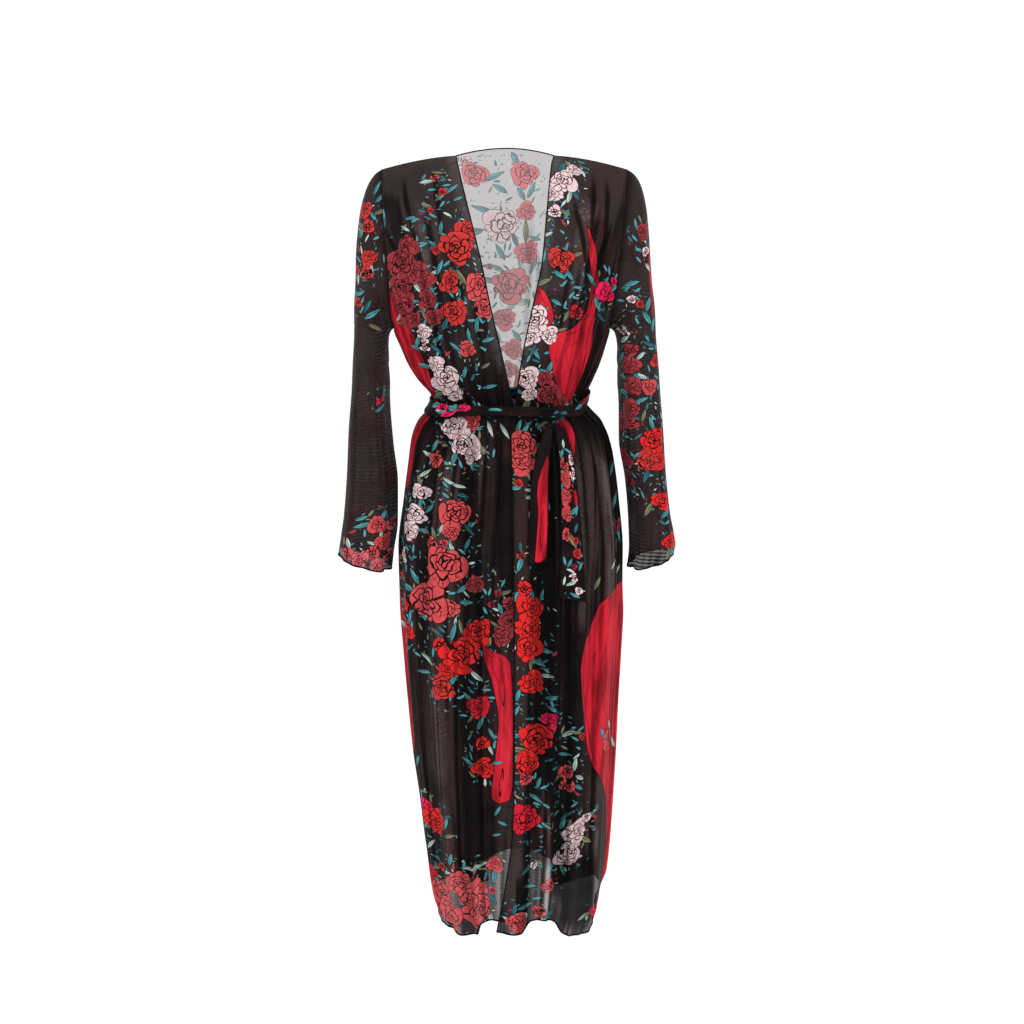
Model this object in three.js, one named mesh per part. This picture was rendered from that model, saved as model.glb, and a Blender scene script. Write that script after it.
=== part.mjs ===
// A long sheer kimono robe with a tie belt, filled out as if worn, in millimetres.
// +Z is up, the front faces -Y, and the origin is mid-shoulder at the base of the neck.
import * as THREE from 'three';

// Driving sizes of the cloth
const WALL = 1.2;
const SEAM_GAP = 0.3;
const UNDERARM_DROP = 256;
const HEM_DROP = 1184;
const BELT_DROP = 368;
const RING_POWER = 2.3;

// Shoulder and neck, left and right as seen from the front
const NECK_LEFT = -77;
const NECK_RIGHT = 71;
const NECK_TOP = 4;
const NAPE_RISE = 11;
const NAPE_DEPTH = 52;
const UPPER_BACK_DEPTH = 100;
const SHOULDER_TIP_TOP = -17;
const SHOULDER_START = 0.35;
const SHOULDER_BOW = 1.7;
const SHOULDER_ARM_SHARE = 0.92;

// Grids: columns across a panel, and rings down a sleeve
const FRONT_COLUMNS = 23;
const BACK_COLUMNS = 38;
const SLEEVE_RINGS = 16;

// How far the upper front panel stands out over the under one, and over what width
const OVERLAP_LIFT = 4.2;
const OVERLAP_ANGLE = 16;
const OVERLAP_FULL_SHARE = 0.6;
const OVERLAP_START = 300;
const OVERLAP_GROWS_OVER = 60;

// Sections of the body. drop is the depth below the shoulder line, left and right the sides,
// front and back the depths at the centre, and arm the depth of the armhole's edge.
const BODY = [
  { drop: 0, left: -190, right: 182, front: 0, back: 0, arm: 0 },
  { drop: 12, left: -189, right: 181, front: 27, back: 28, arm: 17 },
  { drop: 30, left: -188, right: 179, front: 49, back: 50, arm: 31 },
  { drop: 60, left: -186, right: 176, front: 72, back: 71, arm: 45 },
  { drop: 110, left: -182, right: 171, front: 97, back: 89, arm: 56 },
  { drop: 170, left: -178, right: 165, front: 116, back: 97, arm: 58 },
  { drop: 215, left: -176, right: 161, front: 122, back: 97, arm: 45 },
  { drop: 240, left: -175, right: 159, front: 123, back: 96, arm: 27 },
  { drop: 256, left: -174, right: 158, front: 122, back: 95, arm: 0 },
  { drop: 287, left: -162, right: 150, front: 117, back: 92, arm: 0 },
  { drop: 312, left: -151, right: 141, front: 110, back: 88, arm: 0 },
  { drop: 336, left: -135, right: 130, front: 102, back: 84, arm: 0 },
  { drop: 355, left: -118, right: 121, front: 95, back: 80, arm: 0 },
  { drop: 368, left: -112, right: 118, front: 92, back: 79, arm: 0 },
  { drop: 382, left: -121, right: 128, front: 94, back: 82, arm: 0 },
  { drop: 400, left: -137, right: 145, front: 98, back: 90, arm: 0 },
  { drop: 425, left: -147, right: 157, front: 104, back: 100, arm: 0 },
  { drop: 462, left: -153, right: 166, front: 110, back: 110, arm: 0 },
  { drop: 520, left: -161, right: 174, front: 117, back: 121, arm: 0 },
  { drop: 602, left: -170, right: 181, front: 124, back: 130, arm: 0 },
  { drop: 690, left: -169, right: 181, front: 129, back: 135, arm: 0 },
  { drop: 770, left: -164, right: 178, front: 133, back: 139, arm: 0 },
  { drop: 850, left: -158, right: 174, front: 137, back: 142, arm: 0 },
  { drop: 932, left: -151, right: 171, front: 141, back: 145, arm: 0 },
  { drop: 1020, left: -140, right: 167, front: 145, back: 148, arm: 0 },
  { drop: 1095, left: -132, right: 163, front: 148, back: 150, arm: 0 },
  { drop: 1150, left: -124, right: 158, front: 151, back: 150, arm: 0 },
  { drop: 1184, left: -114, right: 148, front: 152, back: 149, arm: 0 },
];

// Where the two front edges run, from the neck points over the V and down to the hem.
const FRONT_EDGES = [
  { drop: 0, under: -77, over: 71 },
  { drop: 12, under: -74, over: 67 },
  { drop: 80, under: -56, over: 59 },
  { drop: 150, under: -38, over: 52 },
  { drop: 215, under: -24, over: 38 },
  { drop: 270, under: -11, over: 26 },
  { drop: 320, under: 0, over: 18 },
  { drop: 352, under: 7, over: 14 },
  { drop: 368, under: 11, over: 12 },
  { drop: 400, under: 22, over: 6 },
  { drop: 470, under: 31, over: 7 },
  { drop: 620, under: 36, over: 10 },
  { drop: 900, under: 39, over: 11 },
  { drop: 1020, under: 38, over: 8 },
  { drop: 1110, under: 35, over: -3 },
  { drop: 1184, under: 31, over: -16 },
];

// Hem lengths round the ring: how much lower than the hem drop, by angle.
const HEM_LINE = [
  { angle: -180, lower: -20 },
  { angle: -168, lower: -14 },
  { angle: -148, lower: 14 },
  { angle: -120, lower: 0 },
  { angle: -92, lower: -10 },
  { angle: -74, lower: -12 },
  { angle: -58, lower: 9 },
  { angle: -34, lower: 9 },
  { angle: -22, lower: 5 },
  { angle: -12, lower: -4 },
  { angle: 6, lower: -3 },
  { angle: 11, lower: -17 },
  { angle: 18, lower: -22 },
  { angle: 27, lower: -14 },
  { angle: 32, lower: 6 },
  { angle: 42, lower: 18 },
  { angle: 54, lower: 21 },
  { angle: 67, lower: 13 },
  { angle: 82, lower: -16 },
  { angle: 98, lower: -24 },
  { angle: 118, lower: 0 },
  { angle: 136, lower: 16 },
  { angle: 153, lower: -14 },
  { angle: 165, lower: -20 },
  { angle: 180, lower: -20 },
];
const HEM_WAVES_FROM = 900;

// The under front panel is cut a little shorter beside its edge.
const UNDER_RISE = 17;
const UNDER_RISE_ANGLE = -21;
const UNDER_RISE_OVER = 5;

// Long folds, by angle round the body from the front centre, positive to the right.
// waist and hem are their angles there, out is how far they stand out, and half is half their width.
const FOLDS = [
  { waist: -6, hem: -10, from: 395, to: 1184, out: -6.5, half: 4.2 },
  { waist: -13, hem: -17, from: 400, to: 1184, out: 5.0, half: 4.8 },
  { waist: -20, hem: -25, from: 390, to: 1184, out: -5.0, half: 4.0 },
  { waist: -31, hem: -37, from: 410, to: 1184, out: 5.5, half: 7.0 },
  { waist: -44, hem: -53, from: 395, to: 1150, out: -4.5, half: 5.5 },
  { waist: -58, hem: -66, from: 430, to: 1184, out: 4.0, half: 6.5 },
  { waist: -74, hem: -79, from: 520, to: 1184, out: -4.5, half: 5.5 },
  { waist: 6, hem: 3, from: 420, to: 1184, out: 3.0, half: 5.0 },
  { waist: 16, hem: 12, from: 390, to: 1184, out: -7.5, half: 4.0 },
  { waist: 23, hem: 19, from: 400, to: 1184, out: 5.0, half: 4.2 },
  { waist: 29, hem: 26, from: 390, to: 1184, out: -6.0, half: 4.0 },
  { waist: 37, hem: 34, from: 430, to: 1184, out: 4.5, half: 5.0 },
  { waist: 46, hem: 43, from: 560, to: 1184, out: -4.5, half: 4.6 },
  { waist: 58, hem: 56, from: 420, to: 1184, out: 4.5, half: 7.0 },
  { waist: 72, hem: 74, from: 400, to: 1184, out: -4.5, half: 6.0 },
  { waist: 88, hem: 87, from: 640, to: 1184, out: 3.0, half: 5.5 },
  { waist: 104, hem: 101, from: 390, to: 1184, out: -6.0, half: 5.5 },
  { waist: 117, hem: 114, from: 430, to: 1184, out: 5.5, half: 6.0 },
  { waist: 131, hem: 129, from: 395, to: 1184, out: -5.0, half: 5.5 },
  { waist: 137, hem: 136, from: 760, to: 1184, out: -46, half: 13 },
  { waist: 145, hem: 143, from: 400, to: 1184, out: 6.0, half: 6.0 },
  { waist: 158, hem: 157, from: 390, to: 1184, out: -7.0, half: 5.5 },
  { waist: 172, hem: 172, from: 410, to: 1184, out: 6.5, half: 6.5 },
  { waist: -174, hem: -171, from: 390, to: 1184, out: -6.0, half: 5.5 },
  { waist: -161, hem: -158, from: 420, to: 1184, out: 6.0, half: 6.0 },
  { waist: -147, hem: -144, from: 395, to: 1184, out: -5.0, half: 5.5 },
  { waist: -148, hem: -148, from: 760, to: 1184, out: -46, half: 13 },
  { waist: -133, hem: -131, from: 430, to: 1184, out: 5.0, half: 6.0 },
  { waist: -119, hem: -116, from: 400, to: 1184, out: -5.5, half: 5.5 },
  { waist: -104, hem: -101, from: 470, to: 1184, out: 4.5, half: 6.0 },
  { waist: -24, hem: -24, from: 70, to: 352, out: -3.5, half: 5.0 },
  { waist: -36, hem: -36, from: 50, to: 350, out: 3.0, half: 5.0 },
  { waist: -47, hem: -47, from: 60, to: 345, out: -3.5, half: 5.0 },
  { waist: 33, hem: 33, from: 60, to: 352, out: 3.0, half: 5.0 },
  { waist: 43, hem: 43, from: 80, to: 350, out: -3.5, half: 4.6 },
  { waist: 54, hem: 54, from: 50, to: 345, out: 2.5, half: 4.6 },
  { waist: 118, hem: 118, from: 120, to: 350, out: 3.0, half: 6.5 },
  { waist: 140, hem: 140, from: 90, to: 350, out: -3.5, half: 7.0 },
  { waist: 163, hem: 163, from: 150, to: 352, out: 3.0, half: 7.0 },
  { waist: -170, hem: -170, from: 120, to: 352, out: -3.0, half: 6.5 },
  { waist: -145, hem: -145, from: 80, to: 350, out: 3.0, half: 7.0 },
  { waist: -122, hem: -122, from: 140, to: 350, out: -3.5, half: 6.5 },
];
const FOLD_FADE = 70;
const FOLDS_START_OVER = 60;
const LEAST_DEPTH = 20;
const DEEP_FOLD_FADE = 360;
const DEEP_FOLD = 20;

// Gathers that the belt pulls in, which fade out above and below it.
const GATHERS_ROUND = 31;
const GATHER_DEPTH = 1.9;
const GATHER_REACH_UP = 70;
const GATHER_REACH_DOWN = 90;
// The gathers' spacing wanders by slow waves round the ring.
const GATHER_WANDERS = [
  { times: 5, from: 40, by: 0.9 },
  { times: 3, from: 0, by: 0.6 },
];

// Rows of the panels below the shoulder line
const PANEL_DROPS = [
  0, 12, 30, 62, 110, 165, 215, 242, 256, 290, 322, 348, 368, 384, 404, 432, 470, 520,
  582, 650, 725, 805, 890, 975, 1055, 1125, 1184,
];

// Sections of the sleeves, from the armhole to the cuff. outer and inner are the points seen
// from the front, front and back the depths, and loop how far the section still is the armhole.
const SLEEVE_LEFT = [
  { at: 0.0, outX: -190, outZ: -17, inX: -174, inZ: -256, front: 56, back: 56, loop: 1 },
  { at: 0.06, outX: -207, outZ: -27, inX: -180, inZ: -259, front: 59, back: 59, loop: 0.6 },
  { at: 0.12, outX: -218, outZ: -47, inX: -182, inZ: -264, front: 61, back: 62, loop: 0.28 },
  { at: 0.2, outX: -226, outZ: -86, inX: -183, inZ: -272, front: 62, back: 64, loop: 0.08 },
  { at: 0.3, outX: -230, outZ: -142, inX: -183, inZ: -286, front: 61, back: 64, loop: 0 },
  { at: 0.4, outX: -233, outZ: -205, inX: -183, inZ: -306, front: 60, back: 62, loop: 0 },
  { at: 0.5, outX: -236, outZ: -275, inX: -182, inZ: -336, front: 58, back: 60, loop: 0 },
  { at: 0.6, outX: -240, outZ: -345, inX: -181, inZ: -380, front: 57, back: 58, loop: 0 },
  { at: 0.7, outX: -246, outZ: -415, inX: -177, inZ: -436, front: 56, back: 56, loop: 0 },
  { at: 0.8, outX: -250, outZ: -482, inX: -171, inZ: -495, front: 56, back: 55, loop: 0 },
  { at: 0.9, outX: -256, outZ: -548, inX: -172, inZ: -560, front: 57, back: 55, loop: 0 },
  { at: 0.97, outX: -262, outZ: -594, inX: -180, inZ: -612, front: 58, back: 55, loop: 0 },
  { at: 1.0, outX: -262, outZ: -611, inX: -184, inZ: -634, front: 58, back: 55, loop: 0 },
];
const SLEEVE_RIGHT = [
  { at: 0.0, outX: 182, outZ: -17, inX: 158, inZ: -256, front: 56, back: 56, loop: 1 },
  { at: 0.06, outX: 200, outZ: -27, inX: 165, inZ: -259, front: 59, back: 59, loop: 0.6 },
  { at: 0.12, outX: 210, outZ: -47, inX: 168, inZ: -264, front: 61, back: 62, loop: 0.28 },
  { at: 0.2, outX: 215, outZ: -86, inX: 169, inZ: -272, front: 62, back: 64, loop: 0.08 },
  { at: 0.3, outX: 218, outZ: -144, inX: 170, inZ: -286, front: 61, back: 64, loop: 0 },
  { at: 0.4, outX: 224, outZ: -206, inX: 170, inZ: -306, front: 60, back: 62, loop: 0 },
  { at: 0.5, outX: 230, outZ: -275, inX: 171, inZ: -336, front: 58, back: 60, loop: 0 },
  { at: 0.6, outX: 236, outZ: -345, inX: 173, inZ: -380, front: 57, back: 58, loop: 0 },
  { at: 0.7, outX: 242, outZ: -412, inX: 174, inZ: -430, front: 56, back: 56, loop: 0 },
  { at: 0.8, outX: 247, outZ: -478, inX: 184, inZ: -490, front: 56, back: 55, loop: 0 },
  { at: 0.9, outX: 255, outZ: -544, inX: 190, inZ: -555, front: 57, back: 55, loop: 0 },
  { at: 0.97, outX: 263, outZ: -590, inX: 192, inZ: -608, front: 58, back: 55, loop: 0 },
  { at: 1.0, outX: 258, outZ: -610, inX: 191, inZ: -630, front: 58, back: 55, loop: 0 },
];
const SLEEVE_POWER = 2.1;
const SLEEVE_CROWDING = 1.15;
const SLEEVE_FOLD_FADE = 0.12;

// Soft folds of a sleeve: round is the angle from the outer line, positive to the front.
const SLEEVE_FOLDS = [
  { round: 62, from: 0.16, to: 0.62, out: -4.0, half: 20 },
  { round: 118, from: 0.3, to: 0.85, out: 3.0, half: 22 },
  { round: 150, from: 0.45, to: 1.0, out: -4.0, half: 18 },
  { round: 84, from: 0.62, to: 1.0, out: -4.0, half: 18 },
  { round: 40, from: 0.55, to: 1.0, out: 3.0, half: 18 },
  { round: -58, from: 0.18, to: 0.7, out: -4.0, half: 20 },
  { round: -100, from: 0.4, to: 1.0, out: 3.5, half: 20 },
  { round: -140, from: 0.5, to: 1.0, out: -4.0, half: 18 },
];

// The rolled tie belt, its knot and its two hanging ends
const BELT_THICK = 4.2;
const BELT_CLEAR = 4.2;
const BELT_STEPS = 64;
const BELT_LIFT_ANGLE = 42;
const BELT_SQUARENESS = 1.5;
// Its section: out is a share of its thickness, and up a share of its height.
const BELT_SECTION = [
  { out: 0, up: -0.5 },
  { out: 0.6, up: -0.42 },
  { out: 1, up: -0.15 },
  { out: 1, up: 0.2 },
  { out: 0.55, up: 0.45 },
  { out: 0, up: 0.5 },
  { out: -0.1, up: 0 },
];
const BELT_LINE = [
  { angle: -180, lower: 0, tall: 19 },
  { angle: -90, lower: 5, tall: 21 },
  { angle: -50, lower: 6, tall: 20 },
  { angle: -10, lower: 2, tall: 15 },
  { angle: 25, lower: 4, tall: 14 },
  { angle: 48, lower: 6, tall: 17 },
  { angle: 90, lower: -7, tall: 17 },
  { angle: 135, lower: -6, tall: 18 },
  { angle: 180, lower: 0, tall: 19 },
];
const KNOT_CLEAR = 2.7;
const KNOT_COLUMNS = 14;
const KNOT_ROWS = 9;
const KNOT = { x: 68, drop: 377.6, wide: 15, deep: 8, tall: 12 };
const TAILS = [
  {
    name: 'belt_tail_short',
    thick: 1.6,
    path: [
      { drop: 389.6, middle: 64.6, wide: 9, clear: 10.5 },
      { drop: 404, middle: 61, wide: 13, clear: 6.5 },
      { drop: 440, middle: 54, wide: 19, clear: 3.6 },
      { drop: 480, middle: 49, wide: 25, clear: 3.2 },
      { drop: 540, middle: 48, wide: 27, clear: 3.2 },
      { drop: 596, middle: 46, wide: 28, clear: 3.6 },
    ],
  },
  {
    name: 'belt_tail_long',
    thick: 1.6,
    path: [
      { drop: 388.9, middle: 74, wide: 6.5, clear: 15 },
      { drop: 404, middle: 80, wide: 13, clear: 6.5 },
      { drop: 450, middle: 90, wide: 21, clear: 3.4 },
      { drop: 520, middle: 95, wide: 27, clear: 3.2 },
      { drop: 590, middle: 98, wide: 34, clear: 3.2 },
      { drop: 655, middle: 99, wide: 41, clear: 3.6 },
    ],
  },
];
const TAIL_COLUMNS = 4;
const TAIL_ROWS = 18;
const TAIL_FLATNESS = 0.75;

// Colours of the cloth
const BLACK_CLOTH = 0x1c1416;
const CRIMSON_CLOTH = 0xb41e32;

const rad = (degrees) => degrees * Math.PI / 180;
const mix = (a, b, t) => a + (b - a) * t;
const clamp = (x, low, high) => Math.min(high, Math.max(low, x));
const smooth = (x) => {
  const t = clamp(x, 0, 1);
  return t * t * (3 - 2 * t);
};

// A column of a table at a place between its rows, on a curve with no overshoot.
function read(table, key, place, column) {
  const last = table.length - 1;
  if (place <= table[0][key]) return table[0][column];
  if (place >= table[last][key]) return table[last][column];
  let i = 0;
  while (table[i + 1][key] < place) i += 1;
  const slope = (k) => (table[k + 1][column] - table[k][column]) / (table[k + 1][key] - table[k][key]);
  const tangent = (k) => {
    if (k === 0) return slope(0);
    if (k === last) return slope(last - 1);
    const before = slope(k - 1);
    const after = slope(k);
    return before * after <= 0 ? 0 : 2 * before * after / (before + after);
  };
  const width = table[i + 1][key] - table[i][key];
  const t = (place - table[i][key]) / width;
  const bend = (1 - t) * t * ((1 - t) * tangent(i) - t * tangent(i + 1)) * width;
  return mix(table[i][column], table[i + 1][column], t * t * (3 - 2 * t)) + bend;
}

const body = (drop, column) => read(BODY, 'drop', drop, column);

// Angles that differ by a whole turn are the same place on the ring.
const turnBetween = (a, b) => ((a - b + 540) % 360 + 360) % 360 - 180;

// Height of the shoulder line at a share of the way out to the armhole.
function shoulderTop(share) {
  const along = clamp((Math.abs(share) - SHOULDER_START) / (1 - SHOULDER_START), 0, 1);
  return mix(NECK_TOP, SHOULDER_TIP_TOP, along ** SHOULDER_BOW);
}

// How fully the hem's waves show at a drop.
const hemShare = (drop) => smooth((drop - HEM_WAVES_FROM) / (HEM_DROP - HEM_WAVES_FROM));

// How far the folds and gathers move the cloth out at an angle and a drop.
function foldOut(angle, drop) {
  let out = 0;
  for (const fold of FOLDS) {
    const along = clamp((drop - BELT_DROP) / (HEM_DROP - BELT_DROP), 0, 1);
    const middle = fold.waist + turnBetween(fold.hem, fold.waist) * along;
    const away = turnBetween(angle, middle) / fold.half;
    const fade = Math.abs(fold.out) > DEEP_FOLD ? DEEP_FOLD_FADE : FOLD_FADE;
    const ends = smooth((drop - fold.from) / fade) *
      (fold.to >= HEM_DROP ? 1 : smooth((fold.to - drop) / fade));
    out += fold.out * ends * Math.exp(-away * away);
  }
  const reach = drop < BELT_DROP ? GATHER_REACH_UP : GATHER_REACH_DOWN;
  const near = Math.exp(-(((drop - BELT_DROP) / reach) ** 2));
  let wander = 0;
  for (const wave of GATHER_WANDERS) wander += wave.by * Math.sin(rad(angle * wave.times + wave.from));
  return out + GATHER_DEPTH * near * Math.sin(rad(angle * GATHERS_ROUND) + wander);
}

// Share of the half width at which the armhole cuts the ring at this drop.
function armShare(drop, column) {
  const deep = body(drop, column);
  const arm = body(drop, 'arm');
  if (deep < 1e-6) return SHOULDER_ARM_SHARE;
  return (1 - (arm / deep) ** RING_POWER) ** (1 / RING_POWER);
}

// Angle of the armhole's edge or side seam on the front or back, in degrees.
function sideAngle(drop, column) {
  const share = armShare(drop, column);
  return Math.asin(clamp(share, 0, 1) ** (RING_POWER / 2)) * 180 / Math.PI;
}

// A point of the body's outer form. angle is -90 to 90 on the front, and beyond that the back.
function bodyPoint(angle, drop, lift = 0) {
  const turned = turnBetween(angle, 0);
  const isFront = Math.abs(turned) <= 90;
  const column = isFront ? 'front' : 'back';
  const side = turned >= 0 ? body(drop, 'right') : body(drop, 'left');
  const half = Math.abs(side) / armShare(drop, column);
  const sine = Math.abs(Math.sin(rad(turned))) ** (2 / RING_POWER);
  const cosine = Math.abs(Math.cos(rad(turned))) ** (2 / RING_POWER);
  const deep = body(drop, column);
  let x = Math.sign(turned) * half * sine;
  let y = (isFront ? -1 : 1) * deep * cosine;
  const share = x / Math.abs(side);
  let top = shoulderTop(share);
  if (!isFront) {
    const neckHalf = x < 0 ? -NECK_LEFT : NECK_RIGHT;
    const inNeck = clamp(1 - (x / neckHalf) ** 2, 0, 1);
    y += NAPE_DEPTH * Math.sqrt(inNeck) * clamp(1 - y / UPPER_BACK_DEPTH, 0, 1) *
      clamp(1 - drop / UNDERARM_DROP, 0, 1);
    top += NAPE_RISE * inNeck;
  }
  const hang = clamp(drop / UNDERARM_DROP, 0, 1);
  const lower = read(HEM_LINE, 'angle', turned, 'lower') * hemShare(drop);
  const z = drop < UNDERARM_DROP ? mix(top, -UNDERARM_DROP, hang) : -drop - lower;
  const away = new THREE.Vector2(x / half ** 2, y / Math.max(deep, LEAST_DEPTH) ** 2).normalize();
  const out = (foldOut(turned, drop) + lift) * smooth(drop / FOLDS_START_OVER);
  x += away.x * out;
  y += away.y * out;
  return new THREE.Vector3(x, y, z);
}

// Angle on the front ring where x has a given value.
function frontAngleAt(x, drop) {
  const side = x >= 0 ? body(drop, 'right') : body(drop, 'left');
  const half = Math.abs(side) / armShare(drop, 'front');
  return Math.sign(x) * Math.asin(clamp(Math.abs(x) / half, 0, 1) ** (RING_POWER / 2)) * 180 / Math.PI;
}

// How far the upper front panel stands off near its edge, where it lies over the other.
function overlapLift(angle, edgeAngle, drop) {
  const near = 1 - smooth((angle - edgeAngle) / OVERLAP_ANGLE - OVERLAP_FULL_SHARE);
  return OVERLAP_LIFT * near * smooth((drop - OVERLAP_START) / OVERLAP_GROWS_OVER);
}

// Points of each panel as rows from the shoulder to the hem, the outer face of its cloth.
function frontRows(isUpper) {
  const sign = isUpper ? 1 : -1;
  return PANEL_DROPS.map((drop) => {
    const edge = frontAngleAt(read(FRONT_EDGES, 'drop', drop, isUpper ? 'over' : 'under'), drop);
    const far = sign * sideAngle(drop, 'front');
    return Array.from({ length: FRONT_COLUMNS + 1 }, (_, i) => {
      const angle = mix(edge, far, i / FRONT_COLUMNS);
      const lift = isUpper ? overlapLift(angle, edge, drop) : 0;
      const p = bodyPoint(angle, drop, lift);
      if (!isUpper) {
        p.z += UNDER_RISE * smooth((angle - UNDER_RISE_ANGLE) / UNDER_RISE_OVER) * hemShare(drop);
      }
      if (i === FRONT_COLUMNS) p.y -= drop < UNDERARM_DROP ? 0 : SEAM_GAP / 2;
      if (drop === 0) p.y = -SEAM_GAP / 2;
      return p;
    });
  });
}

function backRows() {
  return PANEL_DROPS.map((drop) => {
    const far = sideAngle(drop, 'back');
    return Array.from({ length: BACK_COLUMNS + 1 }, (_, i) => {
      const angle = mix(180 - far, 180 + far, i / BACK_COLUMNS);
      const p = bodyPoint(angle, drop);
      if (i === 0 || i === BACK_COLUMNS) p.y += drop < UNDERARM_DROP ? 0 : SEAM_GAP / 2;
      if (drop === 0) p.y = Math.max(p.y, SEAM_GAP / 2);
      return p;
    });
  });
}

// Outward normals of a grid of points. A closed grid's rows join up end to end.
function gridNormals(rows, isClosed, flip) {
  return rows.map((row, r) => row.map((point, c) => {
    const n = row.length;
    const left = row[isClosed ? (c + n - 1) % n : Math.max(c - 1, 0)];
    const right = row[isClosed ? (c + 1) % n : Math.min(c + 1, n - 1)];
    const up = rows[Math.max(r - 1, 0)][c];
    const down = rows[Math.min(r + 1, rows.length - 1)][c];
    const across = right.clone().sub(left);
    const along = down.clone().sub(up);
    return across.cross(along).normalize().multiplyScalar(flip);
  }));
}

// A closed wall from a grid of outer points and the grid of inner points under it.
function wallGeometry(outer, inner, isClosed, flip) {
  const height = outer.length;
  const width = outer[0].length;
  const points = [...outer.flat(), ...inner.flat()];
  const at = (layer, r, c) => layer * height * width + r * width + (isClosed ? c % width : c);
  const faces = [];
  const quad = (a, b, c, d) => {
    if (flip > 0) faces.push(a, b, c, a, c, d);
    else faces.push(a, c, b, a, d, c);
  };
  const columns = isClosed ? width : width - 1;
  for (let r = 0; r < height - 1; r += 1) {
    for (let c = 0; c < columns; c += 1) {
      quad(at(0, r, c), at(0, r, c + 1), at(0, r + 1, c + 1), at(0, r + 1, c));
      quad(at(1, r, c), at(1, r + 1, c), at(1, r + 1, c + 1), at(1, r, c + 1));
    }
  }
  const last = height - 1;
  for (let c = 0; c < columns; c += 1) {
    quad(at(0, 0, c), at(1, 0, c), at(1, 0, c + 1), at(0, 0, c + 1));
    quad(at(0, last, c), at(0, last, c + 1), at(1, last, c + 1), at(1, last, c));
  }
  if (!isClosed) {
    const end = width - 1;
    for (let r = 0; r < last; r += 1) {
      quad(at(0, r, 0), at(0, r + 1, 0), at(1, r + 1, 0), at(1, r, 0));
      quad(at(0, r, end), at(1, r, end), at(1, r + 1, end), at(0, r + 1, end));
    }
  }
  const geometry = new THREE.BufferGeometry();
  geometry.setAttribute('position', new THREE.Float32BufferAttribute(points.flatMap((p) => p.toArray()), 3));
  geometry.setIndex(faces);
  geometry.computeVertexNormals();
  return geometry;
}

function clothMesh(name, geometry, colour = BLACK_CLOTH) {
  const material = new THREE.MeshStandardMaterial({ color: colour, roughness: 0.75, metalness: 0 });
  const mesh = new THREE.Mesh(geometry, material);
  mesh.name = name;
  return mesh;
}

// A body panel: its wall goes inwards, square to the shoulder seam and the side seams.
// turn is 1 where its columns run towards the viewer's left on the outside, and -1 otherwise.
function panelMesh(name, rows, turn) {
  const normals = gridNormals(rows, false, turn);
  const inner = rows.map((row, r) => row.map((point, c) => {
    const normal = normals[r][c].clone();
    const isSeam = c === row.length - 1 || (name === 'back' && c === 0);
    if (isSeam && PANEL_DROPS[r] >= UNDERARM_DROP) normal.set(Math.sign(point.x), 0, 0);
    if (r === 0 && Math.abs(point.y) < SEAM_GAP) normal.set(0, 0, 1);
    return point.clone().addScaledVector(normal, -WALL);
  }));
  return clothMesh(name, wallGeometry(rows, inner, false, turn));
}

// The armhole's edge at an angle round it, from the shoulder tip over the front to the underarm.
function armholePoint(isRight, round) {
  const drop = UNDERARM_DROP * (1 - Math.cos(rad(round))) / 2;
  const isFront = Math.sin(rad(round)) >= 0;
  const far = sideAngle(drop, isFront ? 'front' : 'back');
  const angle = isFront ? far : 180 - far;
  const point = bodyPoint(isRight ? angle : -angle, drop);
  point.x += (isRight ? 1 : -1) * SEAM_GAP;
  return point;
}

// Angles round the sleeve of its columns: those of the panels' rows on the armhole's edge.
function sleeveRounds() {
  const drops = PANEL_DROPS.filter((drop) => drop <= UNDERARM_DROP);
  const down = drops.map((drop) => Math.acos(1 - 2 * drop / UNDERARM_DROP) * 180 / Math.PI);
  return [...down, ...down.slice(1, -1).reverse().map((round) => 360 - round)];
}

function sleeveRows(table, isRight) {
  const value = (at, column) => read(table, 'at', at, column);
  return Array.from({ length: SLEEVE_RINGS + 1 }, (_, r) => {
    const at = (r / SLEEVE_RINGS) ** SLEEVE_CROWDING;
    return sleeveRounds().map((round) => {
      const signed = turnBetween(round, 0);
      const cosine = Math.cos(rad(round));
      const sine = Math.sin(rad(round));
      const along = Math.sign(cosine) * Math.abs(cosine) ** (2 / SLEEVE_POWER);
      const aside = Math.abs(sine) ** (2 / SLEEVE_POWER);
      let out = 0;
      for (const fold of SLEEVE_FOLDS) {
        const away = turnBetween(signed, fold.round) / fold.half;
        const ends = smooth((at - fold.from) / SLEEVE_FOLD_FADE) *
          (fold.to >= 1 ? 1 : smooth((fold.to - at) / SLEEVE_FOLD_FADE));
        out += fold.out * ends * Math.exp(-away * away);
      }
      const deep = sine >= 0 ? -value(at, 'front') : value(at, 'back');
      const middle = new THREE.Vector3(
        mix(value(at, 'outX'), value(at, 'inX'), 0.5), 0, mix(value(at, 'outZ'), value(at, 'inZ'), 0.5));
      const arm = new THREE.Vector3(value(at, 'outX'), 0, value(at, 'outZ')).sub(middle);
      const reach = new THREE.Vector3(arm.x * along, deep * aside, arm.z * along);
      const free = middle.add(reach.multiplyScalar(1 + out / Math.max(reach.length(), 1)));
      return free.lerp(armholePoint(isRight, round), value(at, 'loop'));
    });
  });
}

function sleeveMesh(name, table, isRight) {
  const rows = sleeveRows(table, isRight);
  const flip = isRight ? 1 : -1;
  const normals = gridNormals(rows, true, flip);
  const inner = rows.map((row, r) => {
    const centre = row.reduce((sum, p) => sum.add(p), new THREE.Vector3()).divideScalar(row.length);
    return row.map((point, c) => {
      const inwards = centre.clone().sub(point).normalize();
      const normal = normals[r][c].clone().negate();
      if (normal.dot(inwards) < 0) normal.negate();
      const way = r === 0 ? inwards : normal;
      return point.clone().addScaledVector(way, WALL);
    });
  });
  return clothMesh(name, wallGeometry(rows, inner, true, flip));
}

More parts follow.
